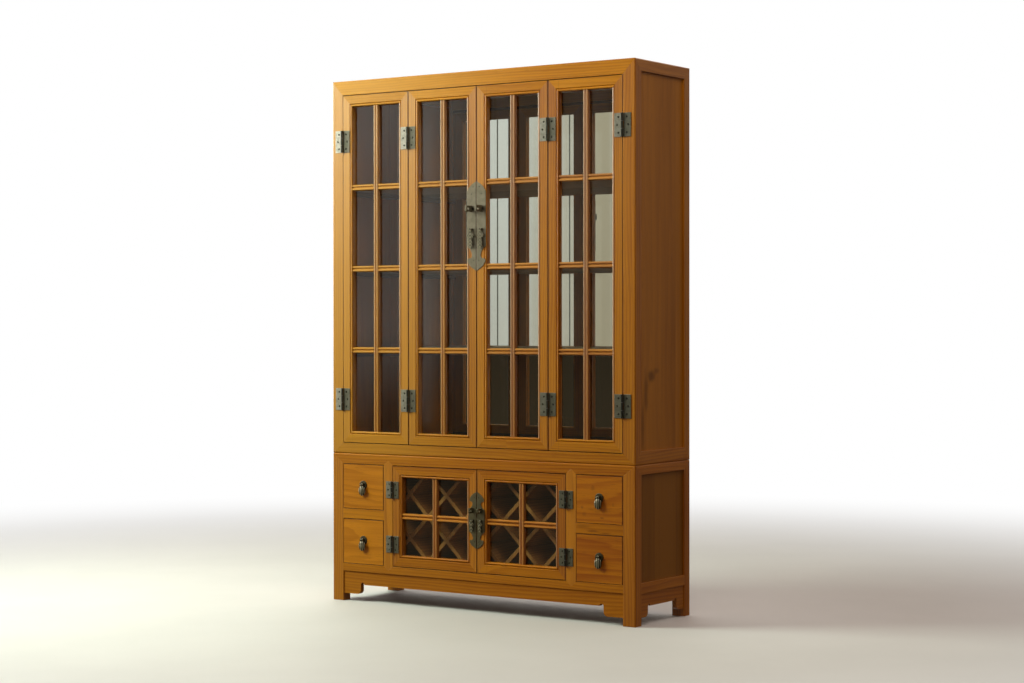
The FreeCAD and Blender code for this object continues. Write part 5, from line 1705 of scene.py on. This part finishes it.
@dataclass
class Studio:
    """Pale floor, soft lamps, plain world, camera, and the cards that the mirror looks at.

    card_tones are the mirror card at its left, at its right, in its folds and low down. glow_stops are
    the turn in degrees, from the front, and the brightness that gloss sees there.
    """

    lamps: tuple[Lamp, ...] = (
        Lamp("key", (-2.3, -1.7, 2.45), (-0.3, -0.1, 1.4), 1.5, 122.0, (0.90, 1.09, 0.90)),
        Lamp("top", (1.5, -1.5, 3.3), (0.5, -0.15, 1.4), 1.2, 22.0, (1.0, 0.90, 0.78)),
    )
    floor_colour: Colour = (0.69, 0.645, 0.645)
    floor_size: float = 30.0
    floor_level: float = -0.0004
    ambient: Colour = (0.23, 0.185, 0.135)
    below: Colour = (0.07, 0.05, 0.032)
    behind: Colour = (1.5, 1.42, 1.3)
    focal_pixels: float = 2126.42
    place: Point = (3.98843, -5.78604, 0.9485)
    yaw: float = 34.349
    pitch: float = -0.56
    roll: float = -0.05
    card_depth: float = -2.483
    card_left: float = -3.0
    card_right: float = -0.8
    card_bottom: float = -0.6
    card_low: float = 0.79
    card_edge: float = -2.1
    card_high: float = 2.6
    card_tones: tuple[Colour, Colour, Colour, Colour] = (
        (0.72, 0.74, 0.65), (0.46, 0.41, 0.28), (0.95, 0.97, 0.92), (0.30, 0.25, 0.16))
    seam_tone: Colour = (0.10, 0.10, 0.08)
    edge_tone: Colour = (0.034, 0.027, 0.016)
    low_tone: Colour = (0.026, 0.018, 0.009)
    seam_width: float = 0.008
    seams: tuple[float, float] = (-1.993, -1.570)
    # Edges, height and colour of the painted reflection of floor in shade.
    patch_right: float = -0.25
    patch_near: float = -0.75
    patch_level: float = 0.0005
    patch_tone: Colour = (0.06, 0.045, 0.028)
    screen_radius: float = 3.6
    screen_low: float = -0.3
    screen_high: float = 3.2
    bowl_radius: float = 0.4
    bowl_low: float = -1.5
    screen_steps: int = 72
    glow_stops: tuple[tuple[float, float], ...] = (
        (-180.0, 0.20), (-140.0, 3.0), (-125.0, 5.0), (-74.0, 5.0), (-64.0, 1.25), (-40.5, 1.15),
        (-33.5, 0.10), (0.0, 0.02), (60.0, 0.02), (130.0, 0.01), (170.0, 0.08))
    glow_low_right: Colour = (0.02, 0.018, 0.012)
    glow_low_left: Colour = (0.23, 0.21, 0.145)

    def flat(self, name: str, corners: Iterable[Point], material: bpy.types.Material) -> bpy.types.Object:
        """One flat staged sheet.

        Args:
            name: Its name.
            corners: Its corners in order.
            material: Its material.

        Returns:
            The object.
        """
        mesh = bpy.data.meshes.new(name)
        points = list(corners)
        mesh.from_pydata(points, [], [tuple(range(len(points)))])
        mesh.materials.append(material)
        sheet = bpy.data.objects.new(name, mesh)
        bpy.context.scene.collection.objects.link(sheet)
        return sheet

    def floor(self) -> None:
        """Lays the floor: pale, with the cabinet's shadow, fading to white far away."""
        material, graph, shader, place = new_material("studio_floor")
        tone = CLOUDS.place(graph, Position=place, Large=2.0, Small=40.0)
        pale = tuple(value * 0.96 for value in self.floor_colour)
        graph.feed(shader.inputs["Base Color"], graph.blend(tone["Broad"], self.floor_colour, pale))
        shader.inputs["Roughness"].default_value = 0.75
        shader.inputs["Specular IOR Level"].default_value = 0.2
        far = graph.stretch(graph.vectors("LENGTH", place), 1.2, 4.8)
        white = graph.node("ShaderNodeEmission")
        white.inputs[0].default_value = (1.0, 1.0, 1.0, 1.0)
        graph.swap_shader(graph.maths("MULTIPLY", far, graph.looked_at()), shader.outputs[0], white.outputs[0])
        size, level = self.floor_size, self.floor_level
        floor = self.flat("floor", ((-size, -size, level), (size, -size, level), (size, size, level),
                                    (-size, size, level)), material)
        hide_from(floor, "glossy", "diffuse")

    def world(self) -> None:
        """Plain white to look at, and a softer light for the object: dim below, brighter from behind."""
        world = bpy.data.worlds.new("studio")
        world.use_nodes = True
        world.node_tree.nodes.clear()
        graph = Graph(world.node_tree)
        _, back, up = graph.split(graph.node("ShaderNodeTexCoord").outputs["Generated"])
        over = graph.stretch(up, -0.05, 0.05)
        rear = graph.maths("POWER", graph.maths("MAXIMUM", back, 0.0), 2.0)
        soft = graph.blend(graph.maths("MULTIPLY", rear, over), graph.blend(over, self.below, self.ambient),
                           self.behind)
        plain = graph.node("ShaderNodeBackground")
        graph.feed(plain.inputs["Color"], graph.blend(graph.looked_at(), soft, (1.0, 1.0, 1.0)))
        output = graph.node("ShaderNodeOutputWorld")
        graph.feed(output.inputs["Surface"], plain.outputs[0])
        bpy.context.scene.world = world

    def hang(self, lamp: Lamp) -> None:
        """Hangs one lamp.

        Args:
            lamp: The lamp.
        """
        data = bpy.data.lights.new(lamp.name, "AREA")
        data.size = lamp.size
        data.energy = lamp.power
        data.color = lamp.colour
        hung = bpy.data.objects.new(lamp.name, data)
        hung.location = lamp.place
        hung.rotation_mode = "QUATERNION"
        hung.rotation_quaternion = (Vector(lamp.target) - Vector(lamp.place)).to_track_quat("-Z", "Y")
        hide_from(hung, "glossy", "transmission")
        bpy.context.scene.collection.objects.link(hung)

    def glow(self, name: str) -> tuple[bpy.types.Material, Graph, bpy.types.Node, Socket]:
        """Makes a material that glows.

        Args:
            name: Its name.

        Returns:
            The material, its graph, its emission shader and the position socket.
        """
        material = bpy.data.materials.new(name)
        material.use_nodes = True
        material.node_tree.nodes.clear()
        graph = Graph(material.node_tree)
        light = graph.node("ShaderNodeEmission")
        graph.feed(graph.output().inputs["Surface"], light.outputs[0])
        return material, graph, light, graph.node("ShaderNodeTexCoord").outputs["Object"]

    def mirror_card(self) -> None:
        """Glowing card that the back mirror shows through the doors, a painted reflection of the room: pale
        with two seams, dark low down.
        """
        material, graph, light, place = self.glow("mirror_card")
        x, _, z = graph.split(place)
        left, right, fold, foot = self.card_tones
        pale = graph.blend(graph.stretch(x, -2.05, -1.35), left, right)
        folds = graph.noise(place, (9.0, 0.0, 0.15), 3.0)
        pale = graph.blend(graph.stretch(folds, 0.35, 0.65, 0.0, 0.22), pale, fold)
        toned = graph.blend(graph.stretch(z, 1.9, 0.8, 0.0, 0.3), pale, foot)
        for seam in self.seams:
            off = graph.maths("ABSOLUTE", graph.maths("SUBTRACT", x, seam))
            line = graph.maths("LESS_THAN", off, self.seam_width / 2)
            toned = graph.blend(line, toned, self.seam_tone)
        toned = graph.blend(graph.maths("LESS_THAN", x, self.card_edge), toned, self.edge_tone)
        toned = graph.blend(graph.maths("LESS_THAN", z, self.card_low), toned, self.low_tone)
        graph.feed(light.inputs[0], toned)
        card = self.flat("mirror_card", (
            (self.card_left, self.card_depth, self.card_bottom),
            (self.card_right, self.card_depth, self.card_bottom),
            (self.card_right, self.card_depth, self.card_high),
            (self.card_left, self.card_depth, self.card_high)), material)
        hide_from(card, "camera", "diffuse", "glossy", "shadow")

    def painted_floor_reflection(self) -> None:
        """Dim glowing sheet at the front left, for what the lower panes reflect: a painted reflection of floor
        in shade.
        """
        material, graph, light, _ = self.glow("painted_floor_reflection")
        graph.feed(light.inputs[0], self.patch_tone)
        card = self.flat("painted_floor_reflection", (
            (self.card_left, self.card_depth, self.patch_level),
            (self.patch_right, self.card_depth, self.patch_level),
            (self.patch_right, self.patch_near, self.patch_level),
            (self.card_left, self.patch_near, self.patch_level)), material)
        hide_from(card, "camera", "diffuse", "glossy", "shadow")

    def screen(self) -> None:
        """Round bowl that only gloss sees: bright at the left, dim at the front, right and below."""
        material, graph, light, place = self.glow("gloss_screen")
        x, y, z = graph.split(place)
        turn = graph.maths("DEGREES", graph.maths("ARCTAN2", x, graph.maths("MULTIPLY", y, -1.0)))
        ramp = graph.node("ShaderNodeValToRGB")
        graph.feed(ramp.inputs[0], graph.maths("ADD", graph.maths("DIVIDE", turn, 360.0), 0.5))
        elements = ramp.color_ramp.elements
        for number, (angle, value) in enumerate(self.glow_stops):
            place_on = (angle + 180.0) / 360.0
            if number < 2:
                entry = elements[number]
                entry.position = place_on
            else:
                entry = elements.new(place_on)
            entry.color = (value, value, value * 0.93, 1.0)
        low = graph.stretch(z, 0.45, 0.95)
        dim = graph.blend(graph.stretch(x, 1.0, -1.0), self.glow_low_right, self.glow_low_left)
        graph.feed(light.inputs[0], graph.blend(low, dim, ramp.outputs[0]))
        graph.feed(light.inputs[1], graph.stretch(z, 1.4, 2.2, 1.0, 1.7))
        work = bmesh.new()
        steps = self.screen_steps
        rings = []
        for radius, level in ((self.bowl_radius, self.bowl_low), (self.screen_radius, self.screen_low),
                              (self.screen_radius, self.screen_high)):
            rings.append([work.verts.new((radius * math.sin(math.tau * step / steps),
                                          -radius * math.cos(math.tau * step / steps), level))
                          for step in range(steps)])
        for lower, upper in zip(rings, rings[1:]):
            for step in range(steps):
                after = (step + 1) % steps
                work.faces.new((lower[step], lower[after], upper[after], upper[step]))
        mesh = bpy.data.meshes.new("gloss_screen")
        work.to_mesh(mesh)
        work.free()
        mesh.materials.append(material)
        screen = bpy.data.objects.new("gloss_screen", mesh)
        bpy.context.scene.collection.objects.link(screen)
        hide_from(screen, "camera", "diffuse", "transmission", "shadow")

    def camera(self) -> None:
        """Camera at the photograph's place and angle."""
        data = bpy.data.cameras.new("camera")
        data.sensor_width = 36.0
        data.lens = self.focal_pixels / PHOTO_WIDTH * data.sensor_width
        data.clip_start = 0.1
        data.clip_end = 100.0
        yaw, pitch, roll = (math.radians(angle) for angle in (self.yaw, self.pitch, self.roll))
        ahead = Vector((-math.sin(yaw) * math.cos(pitch), math.cos(yaw) * math.cos(pitch), math.sin(pitch)))
        level = Vector((math.cos(yaw), math.sin(yaw), 0.0))
        above = level.cross(ahead)
        right = level * math.cos(roll) + above * math.sin(roll)
        up = above * math.cos(roll) - level * math.sin(roll)
        turned = Matrix((right, up, -ahead)).transposed().to_4x4()
        turned.translation = Vector(self.place)
        camera = bpy.data.objects.new("camera", data)
        camera.matrix_world = turned
        bpy.context.scene.collection.objects.link(camera)
        bpy.context.scene.camera = camera

    def build(self) -> None:
        """Sets up the whole studio."""
        self.floor()
        self.world()
        for lamp in self.lamps:
            self.hang(lamp)
        self.mirror_card()
        self.painted_floor_reflection()
        self.screen()
        self.camera()
        scene = bpy.context.scene
        scene.view_settings.view_transform = "Standard"
        log.info("studio ready")


def main() -> None:
    """Builds and dresses the cabinet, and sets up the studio."""
    logging.basicConfig(level=logging.INFO, format="%(message)s")
    Cases().dress()
    glass = DOOR_GLASS.material()
    hinges = Hinges()
    for number, label in enumerate(DOORS):
        wood = FRAME_WOOD if label.startswith("upper") else LOW_SHADED_FRAME_WOOD
        Door(label, DOOR_SEED + number, hinges.pins(), wood).dress(glass)
    hinges.build()
    Locks().build()
    Drawers().dress()
    Studio().build()


if __name__ == "__main__":
    main()
